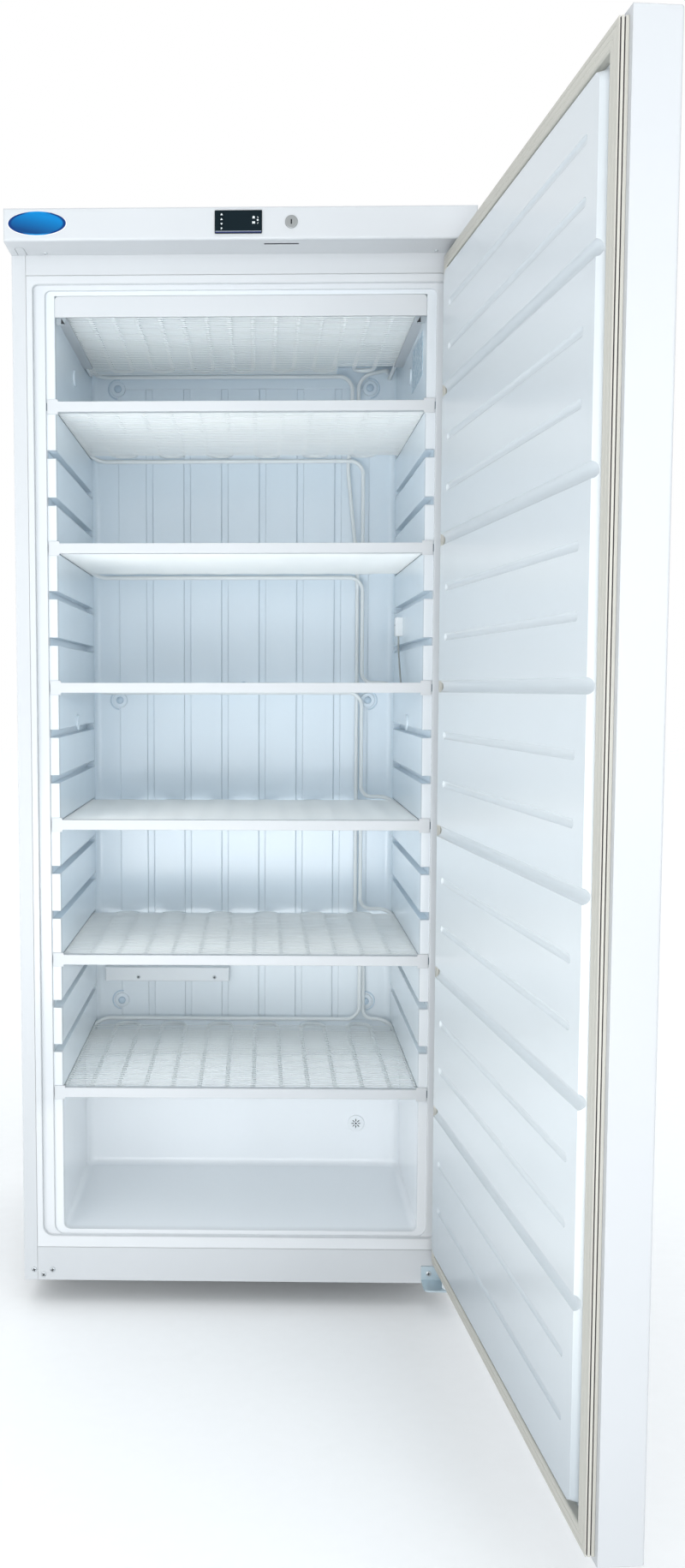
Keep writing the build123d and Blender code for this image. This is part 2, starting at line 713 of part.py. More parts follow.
def lock():
    """The cylinder lock: a fixed barrel, and the turning plug with its cam."""
    front = -CANOPY_D - LOCK_PROUD
    with BuildPart() as barrel:
        rod((LOCK_X, front, CANOPY_Z), (LOCK_X, -CANOPY_D, CANOPY_Z), LOCK_R)
        fillet(barrel.edges().group_by(Axis.Y)[0], LOCK_PROUD / 3)
        rod((LOCK_X, -CANOPY_D, CANOPY_Z), (LOCK_X, CAM_Y - CAM_T / 2 - CAM_GAP, CANOPY_Z), LOCK_BODY_R)
        rod((LOCK_X, front - PAST, CANOPY_Z), (LOCK_X, 0, CANOPY_Z), PLUG_R + PLUG_FIT, Mode.SUBTRACT)
    keep(barrel.part, "lock_barrel")
    with BuildPart() as plug:
        rod((LOCK_X, front, CANOPY_Z), (LOCK_X, CAM_Y + CAM_T / 2, CANOPY_Z), PLUG_R)
        half = CAM_W / 2
        cam = (CAM_Y - CAM_T / 2, CAM_Y + CAM_T / 2)
        block((LOCK_X - CAM_R, LOCK_X), cam, (CANOPY_Z - half, CANOPY_Z + half))
        rod((LOCK_X, cam[0], CANOPY_Z), (LOCK_X, cam[1], CANOPY_Z), half)
        with BuildSketch(Plane((LOCK_X, cam[1], CANOPY_Z), x_dir=(1, 0, 0), z_dir=(0, 1, 0))) as nut:
            RegularPolygon(half, 6)
        extrude(nut.sketch, amount=2 * CAM_T)
        wide, tall, deep = KEYHOLE
        block(
            (LOCK_X - wide / 2, LOCK_X + wide / 2),
            (front - PAST, front + deep),
            (CANOPY_Z - tall / 2, CANOPY_Z + tall / 2),
            Mode.SUBTRACT,
        )
    keep(plug.part, "lock_plug")


def hinge_brackets():
    """The two fixed brackets with their pins, and the spacer under the door."""
    x = (HINGE_X - HINGE_LEFT, HINGE_X + HINGE_RIGHT)
    low = CANOPY_LOW + CANOPY_T
    with BuildPart() as upper:
        block((HINGE_X - HINGE_RIGHT, x[1]), (-HINGE_DEEP, 0), (low, low + HINGE_T))
        block((HINGE_X - HINGE_RIGHT, x[1]), (-HINGE_T, 0), (low, low + HINGE_LEG))
        rod((HINGE_X, HINGE_Y, DOOR_HIGH - PIN_REACH), (HINGE_X, HINGE_Y, low + HINGE_T), PIN_R)
    keep(upper.part, "hinge_bracket_top")
    top = BASE + LOWER_HINGE_H
    with BuildPart() as lower:
        block(x, (-HINGE_DEEP, 0), (top - HINGE_T, top))
        corner = lower.edges().filter_by(Axis.Z).group_by(Axis.Y)[0]
        fillet(corner, HINGE_CORNER)
        block(x, (-HINGE_T, 0), (top, top + HINGE_LEG))
        rod((HINGE_X, HINGE_Y, top - HINGE_T), (HINGE_X, HINGE_Y, DOOR_LOW + PIN_REACH), PIN_R)
        for spot in frame_screws(1):
            screw_hole((spot[0], -HINGE_T, spot[2]), (0, -1, 0), HINGE_T)
    keep(lower.part, "hinge_bracket_bottom")
    with BuildPart() as spacer:
        rod((HINGE_X, HINGE_Y, top), (HINGE_X, HINGE_Y, DOOR_LOW), SPACER_R)
        rod((HINGE_X, HINGE_Y, top), (HINGE_X, HINGE_Y, DOOR_LOW), PIN_R + PIN_FIT, Mode.SUBTRACT)
    keep(spacer.part, "hinge_spacer")


def evaporator_tube():
    """One tube through all the racks, in lengths that meet end to end, and its return line."""
    edge = TOP_SPAN / 2
    z = COIL_Z[0]
    lengths = rack_tube(z, TOP_RUNS, TOP_SPAN, TOP_BACK, CAVITY_D)
    leave = [(-edge, TOP_BACK - TUBE_JOIN, z), (-edge, LINK_Y, z)]
    first_cut = TAIL_RUNS - 1
    riser = RISER_FIRST
    for z in SHELF_Z:
        lengths += rack_tube(z, TUBE_RUNS, TUBE_SPAN, TUBE_BACK, TUBE_BACK - TUBE_JOIN)
        side = -1 if z == SHELF_Z[-1] else 1
        enter = rack_end(side, z, LINK_DIP)
        down = [(riser, LINK_Y, leave[-1][2]), (riser, LINK_Y, enter[-1][2])]
        path, _ = eased_path(leave + down + enter[::-1], BEND_REACH)
        lengths += tube_lengths(path, (first_cut, -TAIL_RUNS))
        leave = rack_end(-1, z, -LINK_DIP)
        first_cut = TAIL_RUNS
        riser = RISER_X
    path, _ = eased_path(return_line(), BEND_REACH)
    lengths += tube_lengths(path, (TAIL_RUNS,))
    keep(Compound(lengths), "evaporator_tube")


def tube_lengths(path, cuts):
    """The lengths of tube along a path, which is cut across after the given runs and bends."""
    runs = path.edges()
    stops = [0] + [cut % len(runs) for cut in cuts] + [len(runs)]
    solids = []
    for start, end in zip(stops, stops[1:]):
        with BuildPart() as length:
            pipe(Wire(runs[start:end]), TUBE_R)
        solids += length.part.solids()
    return solids


def rack_tube(z, runs, span, back, start):
    """One rack's tube: level runs from right to left, with a half turn at every end."""
    pitch = span / (runs - 1)
    edge = span / 2
    points = [(edge, start, z)]
    for i in range(runs - 1):
        x = edge - i * pitch
        y = back + pitch / 2 if i % 2 else TUBE_FRONT - pitch / 2
        points.append((x, y, z))
        points.append((x - pitch, y, z))
    points.append((-edge, back - TUBE_JOIN, z))
    return tube_lengths(bent_path(points, pitch / 2), ())


def rack_end(side, z, dip):
    """From the end of a shelf's tube back and inward to the level of the link."""
    edge = side * TUBE_SPAN / 2
    start = (edge, TUBE_BACK - TUBE_JOIN, z)
    turn = (edge, TUBE_BACK + LINK_START, z)
    return [start, turn, (edge - side * LINK_IN, LINK_Y, z + dip)]


def return_line():
    """The line that leads up the back wall from the lowest shelf, swaying past the links."""
    stops = [
        (RETURN_LOW_X, SHELF_Z[-1] + LINK_DIP),
        (RETURN_LOW_X, SHELF_Z[-1] + SHELF_PITCH / 2),
        (RETURN_X, SHELF_Z[-2] - LINK_DIP),
        (RETURN_X, SHELF_Z[1] + LINK_DIP),
        (RETURN_SWAY, SHELF_Z[0] - LINK_DIP),
        (RETURN_X, SHELF_Z[0] + FIRST_SHELF_DROP / 2),
        (RETURN_X, TOP_COIL_Z + RETURN_RISE[0]),
    ]
    way = [(x, RETURN_Y, z) for x, z in stops]
    top = TOP_COIL_Z + RETURN_RISE[1]
    out = [(RETURN_END, CAVITY_D - RETURN_EXIT, top), (RETURN_END, CAVITY_D, top)]
    return rack_end(1, SHELF_Z[-1], LINK_DIP) + way + out


def wire_mat(name, z, outer, bar_w, back, wire_back, right_back, short_reach):
    """A rack: wires above and below the tube, held by a bar at each side."""
    lift = TUBE_R + WIRE_R + WIRE_GAP
    reach = outer - bar_w / 2
    first = RACK_FRONT + bar_w
    rows = int((wire_back - WIRE_R - first) / WIRE_PITCH)
    spots = [(first + WIRE_PITCH * i, z + lift) for i in range(rows + 1)]
    spots += [(first + WIRE_PITCH * (i + 0.5), z - lift) for i in range(rows)]
    with BuildPart() as mat:
        for side, end in ((-1, back), (1, right_back)):
            x = (side * outer, side * (outer - bar_w))
            block(x, (RACK_FRONT, end), (z - GROOVE_H / 2, z + GROOVE_H / 2 - BAR_GAP))
        full = [(0, y, height) for y, height in spots if y < right_back]
        with Locations(*full):
            Cylinder(WIRE_R, 2 * reach, rotation=(0, 90, 0))
        cut = [((short_reach - reach) / 2, y, height) for y, height in spots if y > right_back]
        if cut:
            with Locations(*cut):
                Cylinder(WIRE_R, reach + short_reach, rotation=(0, 90, 0))
    keep(mat.part, name)


def shelf_strip(i, z):
    """The front strip of a shelf, with an end cap over each groove mouth."""
    half = CAVITY_W / 2 - BAR_GAP
    cap = CAVITY_W / 2 + GROOVE_DEEP - 2 * BAR_GAP
    with BuildPart() as strip:
        block((-half, half), (STRIP_FRONT, RACK_FRONT), (z - STRIP_H / 2, z + STRIP_H / 2))
        for side in (-1, 1):
            x = (side * (half - BAR_W / 2), side * cap)
            block(x, (STRIP_FRONT, STEP2_D), (z - CAP_H / 2, z + CAP_H / 2))
            tall = GROOVE_H / 2 - BAR_GAP
            block(x, (STRIP_FRONT, RACK_FRONT), (z - tall, z + tall))
    keep(strip.part, f"shelf_strip_{i}")


def ceiling_pieces():
    """The strip across the front of the top rack and the two rails that carry the rack."""
    z = COIL_Z[0] - GROOVE_H / 2
    half = CAVITY_W / 2 - BAR_GAP
    top = CEILING_Z - BAR_GAP
    with BuildPart() as strip:
        block((-half, half), (STEP2_D, STEP2_D + CEILING_STRIP_T), (top - CEILING_STRIP_H, top))
        upper = strip.edges().filter_by(Axis.Y).group_by(Axis.Z)[-1]
        fillet(upper, CAVITY_CORNER / 2)
    keep(strip.part, "ceiling_strip")
    with BuildPart() as rails:
        for side in (-1, 1):
            wall = side * CAVITY_W / 2
            y = (STEP2_D + CEILING_STRIP_T, TOP_NOTCH[1])
            block((wall, wall - side * CEILING_RAIL_W), y, (z - CEILING_RAIL_T, z))
            block((wall, wall - side * CEILING_RAIL_T), y, (z, z + GROOVE_H))
    keep(rails.part, "ceiling_rails")


def small_fittings():
    """The sensor clip and lead, cover, blank plate and slotted grommet."""
    wall = CAVITY_W / 2
    wide, deep, tall = CLIP_SIZE
    z = SHELF_Z[2] + CLIP_RISE
    with BuildPart() as clip:
        block((wall - wide, wall), (CLIP_Y - deep / 2, CLIP_Y + deep / 2), (z - tall / 2, z + tall / 2))
        fillet(clip.faces().sort_by(Axis.X)[0].edges(), deep / 6)
    keep(clip.part, "sensor_clip")
    x = wall - LEAD_OUT
    rest = SHELF_Z[2] + GROOVE_H / 2
    top = z - tall / 2
    drop = top - rest
    route = [
        (x, CLIP_Y, top),
        (x, CLIP_Y, top - drop * LEAD_DROPS[0]),
        (x, CLIP_Y - drop * LEAD_RUNS[0], top - drop * LEAD_DROPS[1]),
        (x, CLIP_Y - drop * LEAD_RUNS[1], rest + LEAD_R),
    ]
    with BuildPart() as lead:
        path, radii = eased_path(route, math.inf)
        pipe(path, LEAD_R)
    length = sum(run.length for run in path.edges())
    print("lead bend radii", [round(radius, 1) for radius in radii], "length", round(length, 1))
    print("lead volume", round(lead.part.volume), "section by length", round(math.pi * LEAD_R**2 * length))
    keep(lead.part, "sensor_lead")
    wide, deep, tall = COVER_SIZE
    z = BASE + COVER_H
    with BuildPart() as cover:
        x = (COVER_X - wide / 2, COVER_X + wide / 2)
        block(x, (COVER_FRONT, CAVITY_D), (z - tall / 2, z + tall / 2))
        fillet(cover.faces().sort_by(Axis.Y)[0].edges(), LINER_T)
        for x in COVER_SCREW_X:
            screw_hole((x, COVER_FRONT, COVER_SCREW_Z), (0, -1, 0), LINER_T)
    keep(cover.part, "tube_cover")
    with BuildPart() as plate:
        y = (PLATE_Y - PLATE_SIZE[0] / 2, PLATE_Y + PLATE_SIZE[0] / 2)
        z = TOP - PLATE_DROP
        block((wall - PLATE_T, wall), y, (z - PLATE_SIZE[1] / 2, z + PLATE_SIZE[1] / 2))
    keep(plate.part, "blank_plate")
    grommet()


def grommet():
    """The slotted round insert in the low back wall, with its sleeve through the foam."""
    z = BASE + GROMMET_H
    face = WELL_D - GROMMET_LIP
    with BuildPart() as insert:
        rod((GROMMET_X, face, z), (GROMMET_X, WELL_D, z), GROMMET_R)
        fillet(insert.edges().group_by(Axis.Y)[0], GROMMET_LIP / 2)
        start = (GROMMET_X, WELL_D, z)
        end = (GROMMET_X, MACHINE_FRONT, z)
        rod(start, end, GROMMET_TUBE_R)
        rod(start, end, GROMMET_TUBE_R - LINER_T, Mode.SUBTRACT)
        rod((GROMMET_X, face, z), start, GROMMET_SLOT_W, Mode.SUBTRACT)
        with BuildSketch(Plane((GROMMET_X, face, z), x_dir=(1, 0, 0), z_dir=(0, 1, 0))) as slots:
            with PolarLocations(GROMMET_SLOT_R, GROMMET_SLOTS):
                SlotOverall(GROMMET_SLOT_LONG, GROMMET_SLOT_W)
        extrude(slots.sketch, amount=GROMMET_LIP, mode=Mode.SUBTRACT)
    keep(insert.part, "vent_grommet")


def open_door(part):
    """Turn a piece of the closed door about the hinge to where it stands open."""
    return part.rotate(Axis((HINGE_X, HINGE_Y, 0), (0, 0, 1)), DOOR_OPEN)


def door_skin():
    """The painted outer tray of the door, with a narrow return around its back edge."""
    core = door_core()
    with BuildPart() as skin:
        block((-HALF_W, HALF_W), (-CANOPY_D, -DOOR_GAP), (DOOR_LOW, DOOR_HIGH))
        front = skin.faces().sort_by(Axis.Y)[0]
        fillet(front.edges(), DOOR_ROUND)
        add(core, mode=Mode.SUBTRACT)
        reach = HALF_W - SKIN_RETURN
        z = (DOOR_LOW + SKIN_RETURN, DOOR_HIGH - SKIN_RETURN)
        block((-reach, reach), (-DOOR_GAP - SKIN_RETURN_T - PAST, 0), z, Mode.SUBTRACT)
        for z in ((DOOR_LOW - PAST, DOOR_LOW + 2 * SHEET), (DOOR_HIGH - 2 * SHEET, DOOR_HIGH + PAST)):
            rod((HINGE_X, HINGE_Y, z[0]), (HINGE_X, HINGE_Y, z[1]), BUSH_R, Mode.SUBTRACT)
        strike_block(0.0, PAST, Mode.SUBTRACT)
        cup_block(0.0, PAST, Mode.SUBTRACT)
    keep(open_door(skin.part), "door_skin")


def door_core():
    """The space inside the door's outer tray."""
    side = HALF_W - SHEET
    back = -DOOR_GAP - SKIN_RETURN_T
    with BuildPart() as core:
        block((-side, side), (-CANOPY_D + SHEET, back), (DOOR_LOW + SHEET, DOOR_HIGH - SHEET))
        front = core.faces().sort_by(Axis.Y)[0]
        fillet(front.edges(), DOOR_ROUND - SHEET)
    return core.part


def strike_block(grow, above, mode):
    """The place of the strike box in the door's top edge."""
    z = (DOOR_HIGH - STRIKE_DEEP - grow, DOOR_HIGH + above)
    y = (CAM_Y - STRIKE_W / 2 - grow, CAM_Y + STRIKE_W / 2 + grow)
    block((CAM_SLOT_X[0] - STRIKE_WALL - grow, CAM_SLOT_X[1] + STRIKE_WALL + grow), y, z, mode)


def cup_block(grow, front, mode):
    """The place of the pull cup in the door's outer face."""
    wide, deep, tall = CUP_SIZE
    x = -HALF_W + CUP_IN
    z = BASE + CUP_HEIGHT
    half = wide / 2 + grow
    long = tall / 2 + grow
    y = (-CANOPY_D - front, -CANOPY_D + deep + grow)
    block((x - half, x + half), y, (z - long, z + long), mode)


def panel_body(inset):
    """The raised field of the inner panel as a solid, drawn in by inset."""
    low = DOOR_LOW + PANEL_LOW + inset
    high = DOOR_HIGH - PANEL_HIGH - inset
    wide = BODY_W - 2 * PANEL_SIDE + 2 * PANEL_FOOT - 2 * inset
    tall = high - low + 2 * PANEL_FOOT
    rise = DOOR_GAP + PANEL_PROUD
    with BuildPart() as field:
        middle = (0, -DOOR_GAP, (low + high) / 2)
        with BuildSketch(Plane(middle, x_dir=(1, 0, 0), z_dir=(0, 1, 0))) as base:
            RectangleRounded(wide, tall, PANEL_CORNER)
        extrude(base.sketch, amount=rise - inset, taper=PANEL_DRAFT)
        extrude(base.sketch, amount=-SKIN_RETURN_T)
        wide_r = WIDE_R + inset
        narrow_r = NARROW_R + inset
        reach = HALF_W
        y = PANEL_PROUD + WIDE_LIFT
        with Locations(*[(0, y, z) for z in WIDE_Z]):
            Cylinder(wide_r, 2 * reach, rotation=(0, 90, 0), mode=Mode.SUBTRACT)
        y = PANEL_PROUD + NARROW_LIFT
        with Locations(*[(0, y, z) for z in NARROW_Z]):
            Cylinder(narrow_r, 2 * NARROW_REACH, rotation=(0, 90, 0), mode=Mode.SUBTRACT)
        with Locations(*[(side * NARROW_REACH, y, z) for z in NARROW_Z for side in (-1, 1)]):
            Sphere(narrow_r, mode=Mode.SUBTRACT)
    return field.part


def door_inner():
    """The moulded inner panel, and the foam that fills the door."""
    outer = panel_body(0.0)
    inner = panel_body(PANEL_T)
    half = HALF_W - SKIN_RETURN - SEAM
    z = (DOOR_LOW + SKIN_RETURN + SEAM, DOOR_HIGH - SKIN_RETURN - SEAM)
    with BuildPart() as panel:
        block((-half, half), (-DOOR_GAP - PANEL_T, -DOOR_GAP), z)
        add(outer)
        add(inner, mode=Mode.SUBTRACT)
    keep(open_door(panel.part), "door_panel")
    core = door_core()
    with BuildPart() as foam:
        add(core)
        add(inner)
        for low, high in ((DOOR_LOW, DOOR_LOW + BUSH_LONG), (DOOR_HIGH - BUSH_LONG, DOOR_HIGH)):
            rod((HINGE_X, HINGE_Y, low), (HINGE_X, HINGE_Y, high), BUSH_R, Mode.SUBTRACT)
        strike_block(0.0, 0.0, Mode.SUBTRACT)
        cup_block(0.0, 0.0, Mode.SUBTRACT)
    keep(open_door(foam.part), "door_foam")


def gasket():
    """The folded seal around the door's inner face."""
    out_x = HALF_W - GASKET_INSET
    low = DOOR_LOW + GASKET_INSET
    high = DOOR_HIGH - GASKET_INSET
    stops = [-DOOR_GAP]
    for band in GASKET_BANDS:
        stops.append(stops[-1] + band)
    stops.append(-GASKET_AIR)
    with BuildPart() as seal:
        for i, (start, end) in enumerate(zip(stops, stops[1:])):
            fold = GASKET_FOLD if i % 2 else 0.0
            block((-out_x + fold, out_x - fold), (start, end), (low + fold, high - fold))
        side = out_x - GASKET_W
        block((-side, side), (-DOOR_GAP - PAST, 0), (low + GASKET_W, high - GASKET_W), Mode.SUBTRACT)
        with BuildSketch(Plane.XY.offset(low - PAST)) as wedge:
            with BuildLine():
                Polyline((HINGE_X, 0), (HALF_W, 0), (HALF_W, -GASKET_RELIEF - GASKET_INSET / 2),
                         (HINGE_X, -GASKET_AIR), close=True)
            make_face()
        extrude(wedge.sketch, amount=high - low + 2 * PAST, mode=Mode.SUBTRACT)
    keep(open_door(seal.part), "door_gasket")


def door_fittings():
    """The hinge bushes, the strike box for the lock and the pull cup."""
    with BuildPart() as bushes:
        for low, high in ((DOOR_LOW, DOOR_LOW + BUSH_LONG), (DOOR_HIGH - BUSH_LONG, DOOR_HIGH)):
            rod((HINGE_X, HINGE_Y, low), (HINGE_X, HINGE_Y, high), BUSH_R)
            rod((HINGE_X, HINGE_Y, low), (HINGE_X, HINGE_Y, high), PIN_R + PIN_FIT, Mode.SUBTRACT)
    keep(open_door(bushes.part), "door_bushes")
    with BuildPart() as strike:
        strike_block(0.0, 0.0, Mode.ADD)
        y = (CAM_Y - STRIKE_W / 2 + STRIKE_WALL, CAM_Y + STRIKE_W / 2 - STRIKE_WALL)
        z = (DOOR_HIGH - STRIKE_DEEP + STRIKE_WALL, DOOR_HIGH)
        block(CAM_SLOT_X, y, z, Mode.SUBTRACT)
    keep(open_door(strike.part), "strike_box")
    with BuildPart() as cup:
        cup_block(0.0, 0.0, Mode.ADD)
        wide, deep, tall = CUP_SIZE
        x = -HALF_W + CUP_IN
        z = BASE + CUP_HEIGHT
        half = wide / 2 + CUP_LIP
        long = tall / 2 + CUP_LIP
        block((x - half, x + half), (-CANOPY_D - CUP_WALL, -CANOPY_D), (z - long, z + long))
        cup_block(-CUP_WALL, 2 * CUP_WALL, Mode.SUBTRACT)
    keep(open_door(cup.part), "pull_cup")


def machine():
    """The compressor on its mounts, the drier and the mains inlet."""
    y = (MACHINE_FRONT + BODY_D) / 2
    floor = BASE + BASE_T
    plate = floor + MOUNT_H
    wide, deep, thick = COMPRESSOR_PLATE
    spots = [
        (COMPRESSOR_X + sx * (wide / 2 - MOUNT_IN), y + sy * (deep / 2 - MOUNT_IN))
        for sx in (-1, 1) for sy in (-1, 1)
    ]
    with BuildPart() as mounts:
        for sx, sy in spots:
            rod((sx, sy, floor), (sx, sy, plate), MOUNT_R)
    keep(mounts.part, "compressor_mounts")
    with BuildPart() as pump:
        with BuildSketch(Plane((COMPRESSOR_X, y, plate + thick))) as can:
            Ellipse(*COMPRESSOR_R)
        extrude(can.sketch, amount=COMPRESSOR_H)
        fillet(pump.edges().group_by(Axis.Z)[-1], COMPRESSOR_DOME)
        x = (COMPRESSOR_X - wide / 2, COMPRESSOR_X + wide / 2)
        block(x, (y - deep / 2, y + deep / 2), (plate, plate + thick))
        stub = plate + COMPRESSOR_H / 2
        start = COMPRESSOR_X + COMPRESSOR_R[0] - STUB_R
        rod((start, y, stub), (start + STUB_LONG, y, stub), STUB_R)
    keep(pump.part, "compressor")
    with BuildPart() as drier:
        wall = MACHINE_FRONT
        z = floor + DRIER_LOW
        y = wall + 2 * DRIER_R
        for low in (z, z + DRIER_LONG - 2 * DRIER_R):
            block((DRIER_X - DRIER_R, DRIER_X + DRIER_R), (wall, y), (low, low + DRIER_R))
        rod((DRIER_X, y, z - DRIER_R), (DRIER_X, y, z + DRIER_LONG), DRIER_R)
        rod((DRIER_X, y, z + DRIER_LONG), (DRIER_X, y, MACHINE_TOP), LINE_R)
    keep(drier.part, "filter_drier")
    wide, deep, tall = INLET_SIZE
    with BuildPart() as inlet:
        block((INLET_X - wide / 2, INLET_X + wide / 2), (BODY_D - deep, BODY_D), (floor, floor + tall))
        hole_w, hole_h, hole_d = INLET_SOCKET
        z = floor + tall / 2
        block((INLET_X - hole_w / 2, INLET_X + hole_w / 2), (BODY_D - hole_d, BODY_D),
              (z - hole_h / 2, z + hole_h / 2), Mode.SUBTRACT)
    keep(inlet.part, "power_inlet")


def condenser():
    """The rear condenser: a tube in level runs, upright wires and two standing bars."""
    half = CONDENSER_W / 2
    depth = BODY_D + CONDENSER_D - CONDENSER_TUBE_R - 2 * WIRE_R
    low = BASE + CONDENSER_LOW
    high = TOP - CONDENSER_DROP
    pitch = (high - low) / (CONDENSER_RUNS - 1)
    points = [(-half / 2, depth, low)]
    for i in range(CONDENSER_RUNS):
        end = half if i % 2 == 0 else -half
        points.append((end, depth, low + i * pitch))
        points.append((end, depth, low + (i + 1) * pitch))
    points.pop()
    points[-1] = (points[-1][0] / 2, depth, high)
    reach = half - pitch / 2
    step = 2 * reach / (CONDENSER_WIRES - 1)
    foot = (low - CONDENSER_BAR, high + CONDENSER_BAR)
    y = depth + CONDENSER_TUBE_R + WIRE_R
    with BuildPart() as rack:
        pipe(bent_path(points, pitch / 2), CONDENSER_TUBE_R)
        for side in (-1, 1):
            x = side * (reach - CONDENSER_BAR)
            wide = CONDENSER_BAR / 2
            block((x - wide, x + wide), (BODY_D, BODY_D + CONDENSER_BAR_T), foot)
            block((x - CONDENSER_BAR_T / 2, x + CONDENSER_BAR_T / 2), (BODY_D, y), foot)
        for z in foot:
            block((-reach, reach), (y - CONDENSER_BAR_T, y), (z - WIRE_R, z + WIRE_R))
        spots = [(-reach + step * i, y, (low + high) / 2) for i in range(CONDENSER_WIRES)]
        with Locations(*spots):
            Cylinder(WIRE_R, foot[1] - foot[0] + 2 * WIRE_R)
    keep(rack.part, "condenser")


outer_shell()
front_rails()
insulation(liner())
back_sheet()
base_pan()
for foot_name, foot_spot in FOOT_SPOTS.items():
    foot(foot_name, foot_spot)
canopy()
canopy_trim()
controller()
lock()
hinge_brackets()
evaporator_tube()
top_half = CAVITY_W / 2 - CEILING_RAIL_T - BAR_GAP
wire_mat("rack_wires_top", TOP_COIL_Z, top_half, TOP_BAR_W, TOP_MAT_BACK, TOP_MAT_BACK, TOP_NOTCH[1],
         TOP_NOTCH[0])
shelf_half = CAVITY_W / 2 + GROOVE_DEEP - BAR_GAP
for number, shelf_z in enumerate(SHELF_Z, start=1):
    wire_mat(f"rack_wires_{number}", shelf_z, shelf_half, BAR_W, MAT_BACK, WIRE_BACK, MAT_BACK,
             shelf_half)
    shelf_strip(number, shelf_z)
ceiling_pieces()
small_fittings()
door_skin()
door_inner()
gasket()
door_fittings()
machine()
condenser()
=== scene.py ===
import json
import math

import bmesh
import bpy
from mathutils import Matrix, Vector

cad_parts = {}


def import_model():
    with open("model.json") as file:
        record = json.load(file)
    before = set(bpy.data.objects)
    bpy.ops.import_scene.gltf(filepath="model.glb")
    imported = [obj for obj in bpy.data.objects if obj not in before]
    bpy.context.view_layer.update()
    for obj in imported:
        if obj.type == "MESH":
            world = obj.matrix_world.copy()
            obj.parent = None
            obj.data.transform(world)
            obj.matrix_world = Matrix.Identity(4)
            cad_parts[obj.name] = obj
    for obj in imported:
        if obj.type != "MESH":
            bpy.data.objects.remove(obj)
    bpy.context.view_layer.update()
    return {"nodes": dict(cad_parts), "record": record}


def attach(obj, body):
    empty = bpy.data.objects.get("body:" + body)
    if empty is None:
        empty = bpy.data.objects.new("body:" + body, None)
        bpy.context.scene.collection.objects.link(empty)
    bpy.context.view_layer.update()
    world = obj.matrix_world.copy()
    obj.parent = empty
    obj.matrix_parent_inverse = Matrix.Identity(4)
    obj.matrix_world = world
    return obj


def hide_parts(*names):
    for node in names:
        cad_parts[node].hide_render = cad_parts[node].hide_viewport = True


# An upright static freezer with its door open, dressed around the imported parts.
# Places and sizes are in metres, in the frame of the parts. Outlines, levels and heights
# that are drawn on a face of the freezer are in millimetres.

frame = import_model()

# Camera: the photograph's point of view
CAMERA_PLACE = (0.032, -2.197, 1.111)
CAMERA_TILT = math.radians(85.63)
CAMERA_TURN = math.radians(1.14)
CAMERA_SENSOR = 36.0
CAMERA_LENS = 28.98
CAMERA_SHIFT = 0.0696

# Light: a sky that grows brighter upwards, white behind the object, and five lamps
SKY_COLOUR = (0.94, 0.975, 1.0, 1.0)
SKY_LOW = 0.43
SKY_RISE = 1.35
BACKGROUND = (1.0, 1.0, 1.0, 1.0)
LAMP_COLOUR = (0.97, 0.99, 1.0)
# A lamp's name, its place, the point that it faces, its size and its power
LAMPS = (
    ("front", (0.0, -8.0, 1.9), (0.0, 0.2, 0.9), (2.6, 3.2), 46.0),
    ("right", (3.7, -6.8, 1.8), (0.0, 0.2, 0.9), (2.4, 3.2), 102.0),
    ("left", (-4.2, -6.2, 1.8), (0.0, 0.2, 0.9), (2.6, 3.2), 77.0),
    ("low", (-0.8, -3.0, 0.03), (-0.8, -3.0, 2.0), (2.6, 1.8), 56.0),
    ("fill", (-0.5, -3.6, 0.3), (0.0, 0.3, 0.3), (2.6, 0.5), 27.0),
)
FLOOR_SIZE = 40.0
FLOOR_DROP = 0.0005

# The open door: hinge axis, opening angle, half width and the ends of its height
HINGE = (0.369, -0.031)
DOOR_TURN = math.radians(96.0)
DOOR_HALF = 0.3885
DOOR_LOW = 0.083
DOOR_HIGH = 1.838

# The canopy: its fascia, its underside, the space inside its sheet and the slot of the lock's cam,
# both painted in shade, and what sits on the fascia
FASCIA_Y = -0.07
FASCIA_Z = 1.8695
CANOPY_LOW = 1.842
SHEET = 0.0006
CANOPY_INSIDE = ((-DOOR_HALF + SHEET, FASCIA_Y + 0.0045, CANOPY_LOW + SHEET),
                 (DOOR_HALF - SHEET, 1.0, 1.8944))
CAM_SLOT = ((0.0, -0.0515, CANOPY_LOW + 0.0001), (0.1, -0.0455, CANOPY_LOW + 0.0012))
BADGE_X = -0.3324
BADGE_R = (0.0489, 0.0195)
DISPLAY_X = -0.0022
DISPLAY_RISE = 0.003
KEY_X = -0.0296
KEY_PITCH = 0.0075
LOCK_X = 0.0844

# The tub: its side walls, its back wall and the seven shelves' places
WALL_X = 0.318
BACK_WALL = 0.505
SHELF_HEIGHTS = tuple(1.5925 - 0.241 * i for i in range(6))
RACK_MIDDLE = 0.25
RACK_HALF = 7.0
STRIP_END_X = 0.3332
STRIP_Y = 0.012

